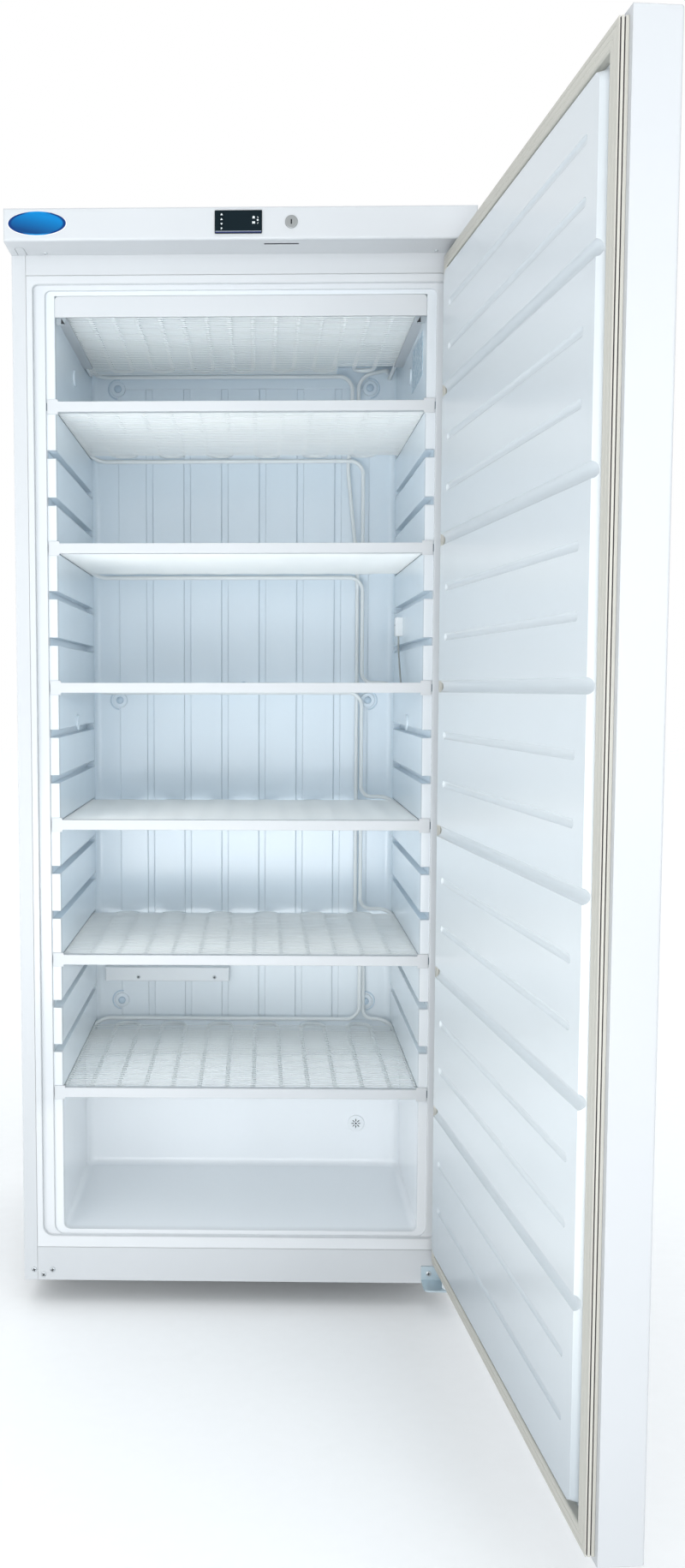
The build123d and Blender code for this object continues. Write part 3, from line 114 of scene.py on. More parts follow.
# Colours that a finish grades by place, with the places between which it changes
MOTTLE = (5.0, 3.0)
PAINT = ((0.52, 0.54, 0.56), (0.535, 0.555, 0.575))
PAINT_GLOSS = (0.32, 0.4)
# Painted shade inside the canopy's sheet and in the cam's slot
CANOPY_PAINTED_SHADE = (0.012, 0.014, 0.03)
# The liner's colours: the paler, bluer tone deep in the tub and low down is painted light
LINER_FRONT = (0.58, 0.602, 0.624)
LINER_FRONT_WELL = (0.64, 0.66, 0.68)
LINER_INSIDE = (0.80, 0.895, 0.97)
LINER_INSIDE_LOW = (0.87, 0.935, 0.98)
LINER_WELL = (0.86, 0.895, 0.925)
LINER_PAINTED_LIGHT_DEPTH = (0.006, 0.03)
LINER_PAINTED_LIGHT_LOW_Z = (0.68, 0.60)
LINER_WELL_Z = (0.375, 0.345)
PANEL = ((0.70, 0.745, 0.77), (0.72, 0.765, 0.79))
# Painted shade on the door's panel: darker colours at its head and foot, and where they begin
PANEL_HEAD_SHADE = (0.565, 0.605, 0.635)
PANEL_FOOT_SHADE = (0.47, 0.52, 0.56)
PANEL_HEAD_Z = (0.8, 1.7)
PANEL_FOOT_Z = (0.42, 0.14)
PANEL_PITCH = 0.0811
PANEL_PHASE = 0.6
PLATE = ((0.36, 0.50, 0.60), (0.66, 0.75, 0.82))
BADGE_FIELD = ((0.0, 0.045, 0.17), (0.0, 0.175, 0.46))
# The rim: a painted highlight at its top and bottom, then its own dark blue at its sides
BADGE_RIM_AND_HIGHLIGHT = ((0.0, 0.21, 0.53), (0.0, 0.03, 0.15))
BADGE_EDGE = (0.85, 0.86, 0.87)
FLOOR = ((0.96, 0.96, 0.96), (0.975, 0.975, 0.975))


def link(tree, source, target):
    """Join two sockets."""
    tree.links.new(source, target)


def new_material(name):
    """A material with one Principled shader; returns it with its tree and shader."""
    material = bpy.data.materials.new(name)
    material.use_nodes = True
    tree = material.node_tree
    shader = next(n for n in tree.nodes if n.type == "BSDF_PRINCIPLED")
    return material, tree, shader


def node(tree, kind, **settings):
    """A shader node with its settings."""
    made = tree.nodes.new(kind)
    for key, value in settings.items():
        setattr(made, key, value)
    return made


def place_of(tree):
    """The point's own coordinates in the object's frame."""
    return node(tree, "ShaderNodeTexCoord").outputs["Object"]


def axis_of(tree, axis):
    """One coordinate of the point."""
    parts = node(tree, "ShaderNodeSeparateXYZ")
    link(tree, place_of(tree), parts.inputs[0])
    return parts.outputs[axis]


def maths(tree, operation, *values):
    """An arithmetic node; each value is a socket or a number."""
    made = node(tree, "ShaderNodeMath", operation=operation)
    for slot, value in enumerate(values):
        if isinstance(value, (int, float)):
            made.inputs[slot].default_value = value
        else:
            link(tree, value, made.inputs[slot])
    return made.outputs[0]


def noise(tree, scale, detail=2.0, stretch=(1.0, 1.0, 1.0)):
    """A noise texture on the object's own coordinates."""
    sized = node(tree, "ShaderNodeMapping")
    sized.inputs["Scale"].default_value = stretch
    link(tree, place_of(tree), sized.inputs["Vector"])
    made = node(tree, "ShaderNodeTexNoise")
    made.inputs["Scale"].default_value = scale
    made.inputs["Detail"].default_value = detail
    link(tree, sized.outputs[0], made.inputs["Vector"])
    return made.outputs["Fac"]


def ramp(tree, source, low, high, start=0.3, end=0.7):
    """Two colours spread over a factor."""
    made = node(tree, "ShaderNodeValToRGB")
    made.color_ramp.elements[0].position = start
    made.color_ramp.elements[1].position = end
    made.color_ramp.elements[0].color = (*low, 1.0)
    made.color_ramp.elements[1].color = (*high, 1.0)
    link(tree, source, made.inputs["Fac"])
    return made.outputs["Color"]


def blend(tree, factor, first, second):
    """Two colours mixed by a factor; the second is a socket or a plain colour."""
    made = node(tree, "ShaderNodeMix", data_type="RGBA")
    link(tree, factor, made.inputs["Factor"])
    link(tree, first, made.inputs["A"])
    if isinstance(second, tuple):
        made.inputs["B"].default_value = (*second, 1.0)
    else:
        link(tree, second, made.inputs["B"])
    return made.outputs["Result"]


def spread(tree, source, low, high, start=0.0, end=1.0):
    """A factor mapped from one range to another."""
    made = node(tree, "ShaderNodeMapRange")
    made.inputs["From Min"].default_value = start
    made.inputs["From Max"].default_value = end
    made.inputs["To Min"].default_value = low
    made.inputs["To Max"].default_value = high
    link(tree, source, made.inputs["Value"])
    return made.outputs["Result"]


def between(tree, source, start, end):
    """Nought at the start of a range, one at its end."""
    return spread(tree, source, 0.0, 1.0, start, end)


def relief(tree, shader, source, strength, distance, soft=0.0):
    """Fine relief, with rounded edges where soft is above zero."""
    made = node(tree, "ShaderNodeBump")
    made.inputs["Strength"].default_value = strength
    made.inputs["Distance"].default_value = distance
    link(tree, source, made.inputs["Height"])
    if soft > 0:
        edge = node(tree, "ShaderNodeBevel", samples=4)
        edge.inputs["Radius"].default_value = soft
        link(tree, edge.outputs["Normal"], made.inputs["Normal"])
    link(tree, made.outputs["Normal"], shader.inputs["Normal"])


def coat(tree, shader, colour, source, rough):
    """Give the shader its colour, and a roughness that varies with a factor."""
    link(tree, colour, shader.inputs["Base Color"])
    link(tree, spread(tree, source, *rough), shader.inputs["Roughness"])


def surface(name, low, high, rough, grain, height, soft=0.0, metallic=0.0, shine=0.5):
    """A finish with slight changes of colour and gloss over a fine grain."""
    material, tree, shader = new_material(name)
    broad = noise(tree, *MOTTLE)
    coat(tree, shader, ramp(tree, broad, low, high), broad, rough)
    relief(tree, shader, noise(tree, grain), *height, soft)
    shader.inputs["Metallic"].default_value = metallic
    shader.inputs["Specular IOR Level"].default_value = shine
    return material


def tub_material():
    """The liner's one plastic with painted light: paler and bluer with depth and paler low down,
    and a greyer tone in the well.
    """
    material, tree, shader = new_material("liner")
    # painted light: the colour grades with depth into the tub and with height
    depth = between(tree, axis_of(tree, "Y"), *LINER_PAINTED_LIGHT_DEPTH)
    low = between(tree, axis_of(tree, "Z"), *LINER_PAINTED_LIGHT_LOW_Z)
    well = between(tree, axis_of(tree, "Z"), *LINER_WELL_Z)
    inside = ramp(tree, low, LINER_INSIDE, LINER_INSIDE_LOW, 0.0, 1.0)
    inside = blend(tree, well, inside, LINER_WELL)
    front = ramp(tree, well, LINER_FRONT, LINER_FRONT_WELL, 0.0, 1.0)
    coat(tree, shader, blend(tree, depth, front, inside), noise(tree, 4.0), (0.14, 0.22))
    relief(tree, shader, noise(tree, 260.0), 0.05, 0.0003, 0.003)
    return material


def plate_material():
    """The blank plate: a pale blue sheet with a fine mottled print."""
    material, tree, shader = new_material("plate")
    colour = ramp(tree, noise(tree, 190.0, 3.0), *PLATE, 0.42, 0.6)
    coat(tree, shader, colour, noise(tree, 30.0), (0.4, 0.5))
    return material


def panel_material():
    """The door's glossy inner panel: swelling between its grooves, with painted shade at its head
    and foot.
    """
    material, tree, shader = new_material("panel")
    colour = ramp(tree, noise(tree, 3.0), *PANEL)
    head = between(tree, axis_of(tree, "Z"), *PANEL_HEAD_Z)
    foot = between(tree, axis_of(tree, "Z"), *PANEL_FOOT_Z)
    # painted shade towards the panel's head and foot
    colour = blend(tree, head, colour, PANEL_HEAD_SHADE)
    colour = blend(tree, foot, colour, PANEL_FOOT_SHADE)
    coat(tree, shader, colour, noise(tree, 5.0), (0.16, 0.24))
    turn = maths(tree, "MULTIPLY", axis_of(tree, "Z"), math.tau / PANEL_PITCH)
    swell = maths(tree, "SINE", maths(tree, "ADD", turn, PANEL_PHASE))
    swell = maths(tree, "MULTIPLY", swell, 0.25)
    sag = maths(tree, "MULTIPLY", noise(tree, 2.2, 1.0, (0.4, 0.4, 2.4)), 2.0)
    relief(tree, shader, maths(tree, "ADD", swell, sag), 0.35, 0.0018, 0.0006)
    return material


def within(tree, low, high):
    """One inside a box and nought outside it."""
    mask = None
    for axis, least, most in zip("XYZ", low, high):
        here = axis_of(tree, axis)
        above = maths(tree, "GREATER_THAN", here, least)
        below = maths(tree, "LESS_THAN", here, most)
        both = maths(tree, "MULTIPLY", above, below)
        mask = both if mask is None else maths(tree, "MULTIPLY", mask, both)
    return mask


def canopy_material():
    """Paint outside, with painted shade inside the folded sheet and in the cam's slot."""
    material, tree, shader = new_material("canopy")
    broad = noise(tree, *MOTTLE)
    paint = ramp(tree, broad, *PAINT)
    # painted shade inside the sheet and in the slot
    dark = maths(tree, "MAXIMUM", within(tree, *CANOPY_INSIDE), within(tree, *CAM_SLOT))
    coat(tree, shader, blend(tree, dark, paint, CANOPY_PAINTED_SHADE), broad, PAINT_GLOSS)
    relief(tree, shader, noise(tree, 900.0), 0.08, 0.0002, 0.001)
    return material


def badge_material():
    """A bare blue oval: azure towards the upper right, a dark rim with a painted highlight at its
    top and bottom, and a white edge.
    """
    material, tree, shader = new_material("badge")
    sized = node(tree, "ShaderNodeMapping", vector_type="TEXTURE")
    sized.inputs["Location"].default_value = (BADGE_X, 0.0, FASCIA_Z)
    sized.inputs["Scale"].default_value = (BADGE_R[0], 1.0, BADGE_R[1])
    link(tree, place_of(tree), sized.inputs["Vector"])
    parts = node(tree, "ShaderNodeSeparateXYZ")
    link(tree, sized.outputs[0], parts.inputs[0])
    across, up = parts.outputs["X"], parts.outputs["Z"]
    aside = maths(tree, "ABSOLUTE", across)
    squares = (maths(tree, "POWER", aside, 2.0),
               maths(tree, "POWER", maths(tree, "ABSOLUTE", up), 2.0))
    radius = maths(tree, "SQRT", maths(tree, "ADD", *squares))
    rightward = maths(tree, "MULTIPLY", across, 0.28)
    upward = maths(tree, "MULTIPLY", up, 0.5)
    glow = maths(tree, "ADD", maths(tree, "ADD", rightward, upward), 0.5)
    field = ramp(tree, glow, *BADGE_FIELD, 0.1, 0.85)
    # the rim's own dark blue, with a painted highlight at its top and bottom
    rim = ramp(tree, between(tree, aside, 0.1, 0.55), *BADGE_RIM_AND_HIGHLIGHT, 0.2, 0.9)
    colour = blend(tree, between(tree, radius, 0.84, 0.9), field, rim)
    colour = blend(tree, between(tree, radius, 0.965, 0.985), colour, BADGE_EDGE)
    coat(tree, shader, colour, noise(tree, 40.0), (0.18, 0.24))
    shader.inputs["Specular IOR Level"].default_value = 0.2
    return material


# Each plain finish: its two colours, its least and most roughness, the scale of its grain,
# the grain's strength and height, then where they differ from surface()'s own values the
# rounding of edges, the metallic share and the shine
SURFACES = {
    "paint": (
        *PAINT, PAINT_GLOSS, 900.0, (0.08, 0.0002), 0.0012),
    # Painted shade: the door's skin in the cabinet's white paint, made darker
    "shaded_door_paint": (
        (0.495, 0.512, 0.532), (0.51, 0.527, 0.547), PAINT_GLOSS, 900.0, (0.08, 0.0002), 0.0012),
    "foam": (
        (0.80, 0.72, 0.5), (0.86, 0.8, 0.6), (0.8, 0.9), 300.0, (0.5, 0.001)),
    "zinc": (
        (0.40, 0.50, 0.55), (0.53, 0.62, 0.67), (0.28, 0.45), 90.0, (0.15, 0.0004), 0.0006, 0.85),
    "galvanised": (
        (0.46, 0.485, 0.50), (0.58, 0.60, 0.61), (0.3, 0.46), 90.0, (0.15, 0.0004), 0.0006, 0.85),
    "chrome": (
        (0.27, 0.29, 0.295), (0.35, 0.365, 0.37), (0.24, 0.36), 1500.0, (0.1, 0.0001), 0.0004, 0.9),
    "screw": (
        (0.46, 0.49, 0.51), (0.54, 0.57, 0.59), (0.3, 0.42), 1500.0, (0.1, 0.0001), 0.0004, 0.6),
    "rack": (
        (0.84, 0.88, 0.89), (0.88, 0.91, 0.91), (0.35, 0.5), 700.0, (0.15, 0.0002)),
    "strip": (
        (0.54, 0.562, 0.584), (0.56, 0.582, 0.604), (0.3, 0.4), 500.0, (0.05, 0.0002), 0.0015),
    "fitting": (
        (0.8, 0.84, 0.87), (0.84, 0.87, 0.89), (0.4, 0.5), 900.0, (0.08, 0.0002), 0.0008),
    "rubber": (
        (0.48, 0.47, 0.425), (0.51, 0.50, 0.455), (0.45, 0.6), 600.0, (0.12, 0.0002)),
    # Painted shade in the seal's deep folds
    "fold_shade": (
        (0.06, 0.05, 0.06), (0.09, 0.08, 0.09), (0.6, 0.7), 600.0, (0.12, 0.0002)),
    "dark": (
        (0.012, 0.013, 0.015), (0.02, 0.021, 0.024), (0.4, 0.6), 400.0, (0.25, 0.0003), 0.0008),
    # Painted shade: near black for the insides of holes, slots and recesses
    "hole": (
        (0.006, 0.008, 0.012), (0.01, 0.012, 0.016), (0.6, 0.8), 400.0, (0.1, 0.0001)),
    "window": (
        (0.003, 0.009, 0.013), (0.006, 0.014, 0.019), (0.2, 0.3), 700.0, (0.05, 0.0001),
        0.0003, 0.0, 0.08),
    "blue_line": (
        (0.01, 0.02, 0.1), (0.02, 0.03, 0.14), (0.2, 0.3), 300.0, (0.02, 0.0001)),
    "print": (
        (0.62, 0.68, 0.7), (0.7, 0.74, 0.76), (0.4, 0.5), 900.0, (0.05, 0.0001)),
    "copper": (
        (0.6, 0.3, 0.18), (0.7, 0.4, 0.26), (0.3, 0.45), 300.0, (0.1, 0.0002), 0.0, 1.0),
    "lead": (
        (0.36, 0.38, 0.37), (0.42, 0.44, 0.43), (0.4, 0.5), 900.0, (0.1, 0.0001)),
    # Painted shade: the back wall's knobs and the beads round its bosses, darker and bluer than the
    # liner
    "knob": (
        (0.56, 0.68, 0.79), (0.60, 0.72, 0.82), (0.16, 0.24), 400.0, (0.04, 0.0001)),
    "bead": (
        (0.60, 0.72, 0.82), (0.64, 0.75, 0.84), (0.2, 0.3), 400.0, (0.04, 0.0001)),
    "shade": (
        (0.26, 0.30, 0.33), (0.30, 0.34, 0.37), (0.4, 0.5), 400.0, (0.1, 0.0001)),
    # Painted shade in thin gaps and in the clip's notch
    "gap_shade": (
        (0.07, 0.12, 0.15), (0.10, 0.15, 0.18), (0.5, 0.6), 400.0, (0.1, 0.0001)),
    "cup": (
        (0.5, 0.52, 0.53), (0.54, 0.56, 0.57), (0.4, 0.5), 900.0, (0.1, 0.0002), 0.001),
}
MATERIALS = {name: surface(name, *row) for name, row in SURFACES.items()}
MATERIALS["plate"] = plate_material()
MATERIALS["liner"] = tub_material()
MATERIALS["panel"] = panel_material()
MATERIALS["canopy"] = canopy_material()
MATERIALS["badge"] = badge_material()

# The finish of each material slot, and the parts that have a finish of their own
FINISH = {
    "white_paint": "paint",
    "liner_plastic": "liner",
    "panel_plastic": "panel",
    "foam": "foam",
    "zinc_sheet": "galvanised",
    "zinc_steel": "zinc",
    "screw_steel": "screw",
    "lock_metal": "chrome",
    "rack_coating": "rack",
    "strip_plastic": "strip",
    "fitting_plastic": "fitting",
    "key_plastic": "window",
    "case_plastic": "window",
    "cup_plastic": "cup",
    "lead_grey": "lead",
    "gasket_rubber": "rubber",
    "mount_rubber": "dark",
    "inlet_black": "dark",
    "compressor_black": "dark",
    "condenser_black": "dark",
    "foot_plastic": "dark",
    "window_dark": "window",
    "badge_blue": "badge",
    "copper": "copper",
    "plate_paper": "plate",
}
OWN_FINISH = {"canopy": "canopy", "hinge_slot_cover": "paint", "door_skin": "shaded_door_paint"}


def dress_parts():
    """Give every carried-over part the finish of its slot, or its own."""
    slots = {row["node"]: row["material_slot"] for row in frame["record"]["subparts"]}
    for name, part in frame["nodes"].items():
        part.data.materials.clear()
        part.data.materials.append(MATERIALS[OWN_FINISH.get(name, FINISH[slots[name]])])


def piece(name, points, faces, finishes, body, picks=None, smooth=True):
    """A mesh piece that rides on a body; picks gives each face its finish."""
    mesh = bpy.data.meshes.new(name)
    mesh.from_pydata(points, [], faces)
    for finish in finishes:
        mesh.materials.append(MATERIALS[finish])
    if picks:
        mesh.polygons.foreach_set("material_index", picks)
    shape = bmesh.new()
    shape.from_mesh(mesh)
    bmesh.ops.recalc_face_normals(shape, faces=shape.faces)
    shape.to_mesh(mesh)
    shape.free()
    if smooth:
        mesh.shade_smooth()
    made = bpy.data.objects.new(name, mesh)
    bpy.context.scene.collection.objects.link(made)
    if smooth:
        made.modifiers.new("edges", "EDGE_SPLIT").split_angle = math.radians(40)
    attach(made, body)
    return made


def ring_faces(count, rings, closed=False):
    """Quads between rings of count points each, laid one after another."""
    faces = []
    for i in range(rings if closed else rings - 1):
        for j in range(count):
            here, there = i * count, (i + 1) % rings * count
            faces.append((here + j, here + (j + 1) % count,
                          there + (j + 1) % count, there + j))
    return faces


def capped_faces(count, rings):
    """Quads between rings, with a face over the first ring and one over the last."""
    faces = ring_faces(count, rings)
    faces.append(tuple(range(count)))
    faces.append(tuple(range((rings - 1) * count, rings * count)))
    return faces


# The badge from its edge to its middle: shares of its radii, and heights in metres
BADGE_LEVELS = (
    (1.0, 0.0), (1.0, 0.0007), (0.99, 0.0011), (0.965, 0.0013), (0.93, 0.0012),
    (0.9, 0.00125), (0.7, 0.0014), (0.4, 0.00155), (0.05, 0.0016),
)
BADGE_COUNT = 96


def badge():
    """The domed oval on the fascia."""
    points = []
    for share, rise in BADGE_LEVELS:
        for j in range(BADGE_COUNT):
            turn = math.tau * j / BADGE_COUNT
            points.append((BADGE_X + BADGE_R[0] * share * math.cos(turn), FASCIA_Y - rise,
                           FASCIA_Z + BADGE_R[1] * share * math.sin(turn)))
    faces = capped_faces(BADGE_COUNT, len(BADGE_LEVELS))
    made = piece("badge_dome", points, faces, ["badge"], "cabinet")
    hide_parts("badge_oval")


def opened(point):
    """A point of the closed door moved to where the door stands open."""
    x, y = point[0] - HINGE[0], point[1] - HINGE[1]
    cos, sin = math.cos(DOOR_TURN), math.sin(DOOR_TURN)
    return (HINGE[0] + x * cos - y * sin, HINGE[1] + x * sin + y * cos, point[2])


# The seal's section with the door shut: how far in from the door's edge and in front of the
# cabinet, in millimetres, and which of its faces lie in the two deep folds, painted in shade
SEAL_PROFILE = (
    (9.3, -12.5), (8.6, -12.1), (8.5, -10.3), (8.6, -8.7), (9.2, -8.2),
    (11.4, -8.0), (11.4, -7.2),
    (9.2, -7.0), (8.6, -6.5), (8.5, -5.2), (8.6, -4.0), (9.2, -3.5),
    (11.4, -3.3), (11.4, -2.4),
    (9.2, -2.2), (8.7, -1.7), (8.8, -1.0), (9.6, -0.5), (11.0, -0.3),
    (15.6, -0.3), (16.2, -0.75), (16.8, -0.3), (24.6, -0.3), (25.2, -0.75), (25.8, -0.3),
    (31.0, -0.3), (32.6, -0.6), (33.4, -1.5), (33.5, -3.2),
    (32.9, -5.0), (33.3, -8.5), (33.5, -11.0), (33.0, -12.5),
)
SEAL_SHADED_FOLDS = (4, 5, 6, 11, 12, 13)
SEAL_GAP = 0.0003
# Beyond the hinge axis the seal is cut back on a slope: its run and its depth
SEAL_SLOPE = (0.0195, 0.00715)


def seal():
    """The folded seal around the door, with painted shade in the two deep folds along its side."""
    spots = []
    for side, high in ((-1, False), (1, False), (1, True), (-1, True)):
        for inset, y in SEAL_PROFILE:
            inset, y = inset / 1000, y / 1000
            x = side * (DOOR_HALF - inset)
            z = DOOR_HIGH - inset if high else DOOR_LOW + inset
            if side > 0 and x > HINGE[0]:
                y = min(y, -SEAL_GAP - (x - HINGE[0]) * SEAL_SLOPE[1] / SEAL_SLOPE[0])
            spots.append(opened((x, y, z)))
    count = len(SEAL_PROFILE)
    faces = ring_faces(count, 4, True)
    picks = [1 if index % count in SEAL_SHADED_FOLDS else 0 for index in range(len(faces))]
    made = piece("seal_bellows", spots, faces, ["rubber", "fold_shade"], "door", picks)
    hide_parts("door_gasket")


# Screw heads: middle, direction, radius and the turn of the cross
SCREWS = (
    ((-0.371, 0.0, 0.064), (0, -1, 0), 0.005, 0.3),
    ((-0.354, 0.0, 0.055), (0, -1, 0), 0.005, 0.9),
    ((-0.338, 0.0, 0.064), (0, -1, 0), 0.005, 0.1),
    ((0.371, -0.003, 0.064), (0, -1, 0), 0.005, 0.6),
    ((0.338, -0.003, 0.064), (0, -1, 0), 0.005, 0.2),
    ((-0.329, -0.011, 1.842), (0, 0, -1), 0.004, 0.5),
    ((0.329, -0.011, 1.842), (0, 0, -1), 0.004, 0.2),
    ((-0.226, 0.48, 0.489), (0, -1, 0), 0.004, 0.7),
    ((-0.062, 0.48, 0.489), (0, -1, 0), 0.004, 0.4),
)
SCREW_HEIGHT = 0.0018
SCREW_RINGS = 12
SCREW_COUNT = 48
# The cross recess: the height of its floor as a share of the head's, and its half width and
# reach as shares of the radius
CROSS_FLOOR = 0.25
CROSS_HALF = 0.14
CROSS_REACH = 0.6


def in_cross(u, v, turn):
    """Whether a point of the unit disc lies in the cross recess."""
    a = u * math.cos(turn) + v * math.sin(turn)
    b = v * math.cos(turn) - u * math.sin(turn)
    return min(abs(a), abs(b)) < CROSS_HALF and max(abs(a), abs(b)) < CROSS_REACH


def screw_head(middle, out, radius, turn):
    """Points and faces of a pan head with a cross recess, and which faces are in it."""
    turned = Vector(out).to_track_quat("Z", "Y").to_matrix()
    points = []
    for i in range(SCREW_RINGS + 1):
        share = 1.0 - i / SCREW_RINGS
        for j in range(SCREW_COUNT):
            angle = math.tau * j / SCREW_COUNT
            u, v = share * math.cos(angle), share * math.sin(angle)
            rise = SCREW_HEIGHT * (1.0 - share ** 4) ** 0.5
            if in_cross(u, v, turn):
                rise = SCREW_HEIGHT * CROSS_FLOOR
            points.append(tuple(Vector(middle) + turned @ Vector((radius * u, radius * v, rise))))
    faces = ring_faces(SCREW_COUNT, SCREW_RINGS + 1)
    picks = []
    for face in faces:
        ring = sum(index // SCREW_COUNT for index in face) / 4
        share = 1.0 - ring / SCREW_RINGS
        angle = math.tau * (face[0] % SCREW_COUNT + 0.5) / SCREW_COUNT
        picks.append(int(in_cross(share * math.cos(angle), share * math.sin(angle), turn)))
    return points, faces, picks


def screws():
    """All the visible screw heads as one piece, with painted shade in their cross recesses."""
    points, faces, picks = [], [], []
    for screw in SCREWS:
        more, sides, chosen = screw_head(*screw)
        faces += [tuple(index + len(points) for index in face) for face in sides]
        points += more
        picks += chosen
    made = piece("screw_heads", points, faces, ["screw", "hole"], "cabinet", picks)
    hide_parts("screws")


def surface_map(origin, across, up, out):
    """A map from millimetres across, up and out of a flat face to points in metres."""
    origin, across, up, out = (Vector(value) for value in (origin, across, up, out))

    def place(u, v, rise):
        return tuple(origin + (across * u + up * v + out * rise) / 1000)

    return place


def front_face(x, z, y):
    """The map onto an upright face that looks to the front."""
    return surface_map((x, y, z), (1, 0, 0), (0, 0, 1), (0, -1, 0))


def lifted(face, rise):
    """The same map, starting further out."""

    def place(u, v, out):
        return face(u, v, out + rise)

    return place


def plate_mesh(outline, face, low, high):
    """Points and faces of a thin flat shape between two heights above a face."""
    points = [face(u, v, level) for level in (low, high) for u, v in outline]
    return points, capped_faces(len(outline), 2)


def dome_mesh(face, radius, levels, count=32):
    """Points and faces of a round knob; levels are shares of the radius and heights."""
    points = [face(u, v, rise) for share, rise in levels for u, v in disc(radius * share, count)]
    return points, capped_faces(count, len(levels))


def bead_mesh(face, radius, start, end, half, rise, steps=24, sides=6):
    """Points and faces of a low half-round bead along an arc in degrees."""
    points = []
    for i in range(steps + 1):
        turn = math.radians(start + (end - start) * i / steps)
        for j in range(sides):
            bow = math.pi * j / (sides - 1)
            reach = radius + half * math.cos(bow)
            points.append(face(reach * math.cos(turn), reach * math.sin(turn),
                               rise * math.sin(bow)))
    return points, capped_faces(sides, steps + 1)


def merged(meshes):
    """Several meshes as one."""
    points, faces = [], []
    for more, sides in meshes:
        faces += [tuple(index + len(points) for index in face) for face in sides]
        points += more
    return points, faces


def plate(name, outline, face, low, high, finish, body):
    """One thin flat shape as a piece of its own."""
    points, faces = plate_mesh(outline, face, low, high)
    piece(name, points, faces, [finish], body, smooth=False)


def disc(radius, count=24):
    """The outline of a disc."""
    turns = [math.tau * i / count for i in range(count)]
    return [(radius * math.cos(turn), radius * math.sin(turn)) for turn in turns]


def bar(wide, tall, corner):
    """The outline of a rectangle with cut corners, about its middle."""
    x, y = wide / 2, tall / 2
    return [(-x + corner, -y), (x - corner, -y), (x, -y + corner), (x, y - corner),
            (x - corner, y), (-x + corner, y), (-x, y - corner), (-x, -y + corner)]


def moved(outline, across, up):
    """An outline moved over its face."""
    return [(u + across, v + up) for u, v in outline]


# The symbols of the keys from the top down, and those in the display with their places
KEY_SYMBOLS = (
    [(-2.0, -1.3), (2.0, -1.3), (1.5, -0.6), (1.2, 0.6),
     (0.5, 1.4), (-0.5, 1.4), (-1.2, 0.6), (-1.5, -0.6)],
    [(-2.0, -1.3), (2.0, -1.3), (0.0, 1.7)],
    [(-2.0, 1.3), (0.0, -1.7), (2.0, 1.3)],
    [(-1.1, -1.8), (-0.4, -1.8), (-0.4, -0.3), (0.7, -0.3),
     (1.3, 0.3), (1.3, 1.1), (0.7, 1.7), (-1.1, 1.7)],
)
FROST = [(-2.2, -1.6), (2.2, -1.6), (2.2, -0.4), (1.2, 0.2), (2.2, 0.9),
         (1.0, 2.2), (-1.0, 2.2), (-2.2, 0.9), (-1.2, 0.2), (-2.2, -0.4)]
FAN = [(-2.2, -1.8), (-0.7, -1.8), (-0.4, -0.6), (0.3, -1.8), (2.2, -1.8),
       (2.2, 1.8), (0.4, 1.8), (-0.2, 0.6), (-0.8, 1.8), (-2.2, 1.8)]
RAY_HIGH = [(-1.0, 0.9), (0.2, 0.2), (0.6, -1.4), (1.2, 0.2), (0.2, 1.4)]
RAY_LOW = [(-1.0, -1.2), (0.2, -0.6), (0.6, 1.2), (1.2, -0.2), (0.2, -1.8)]
MARKS = (
    ("frost_symbol", 25.0, 6.3, FROST),
    ("fan_symbol", 25.0, -1.8, FAN),
    ("sun_symbol", 31.6, 2.2, disc(1.5, 16)),
    ("ray_symbol_1", 31.4, 6.2, RAY_HIGH),
    ("ray_symbol_2", 31.4, -2.0, RAY_LOW),
)
# The lines along the controller's lower edge: how far below its middle, shape and finish
BEZEL_LINES = (
    ("bezel_line", 0.0165, bar(75.2, 1.8, 0.2), "blue_line"),
    ("bezel_edge", 0.0153, bar(75.2, 0.4, 0.1), "print"),
)


def controller_marks():
    """The symbols on the keys and the window, and the lines along the lower edge."""
    front = FASCIA_Y - DISPLAY_RISE
    for i, outline in enumerate(KEY_SYMBOLS):
        face = front_face(KEY_X, FASCIA_Z + (1.5 - i) * KEY_PITCH, front)
        plate(f"key_symbol_{i + 1}", outline, face, 0.5, 0.6,
              "print", f"key_{i + 1}")
    for name, x, z, outline in MARKS:
        face = front_face(DISPLAY_X + x / 1000, FASCIA_Z + z / 1000, front)
        plate(name, outline, face, 0.3, 0.4, "print", "cabinet")
    for name, drop, outline, finish in BEZEL_LINES:
        face = front_face(DISPLAY_X, FASCIA_Z - drop, front)
        plate(name, outline, face, 0.0, 0.2, finish, "cabinet")


def keyhole():
    """A dark plate at the bottom of the keyhole, as painted shade."""
    face = front_face(LOCK_X, FASCIA_Z, FASCIA_Y)
    plate("keyhole_shade", bar(2.2, 8.0, 0.4), face, 0.6, 0.7, "hole", "lock")


# The bosses in the back wall, with the knob's levels from its edge to its middle, and how
# far the knob in the middle of the wall stands above the bosses at its sides
BOSS_X = 0.264
BOSS_HEIGHTS = (1.735, 1.084, 0.433)
BOSS_OUT = 3.0
KNOB_RADIUS = 7.6
KNOB_LEVELS = ((1.0, 0.0), (1.0, 3.1), (0.93, 4.2), (0.75, 5.2), (0.45, 6.0), (0.05, 6.2))
MIDDLE_KNOB_UP = 0.032
# The bead around a boss: its radius, first and last angle, half width and height
BEAD = (20.0, -85, 100, 1.6, 1.4)


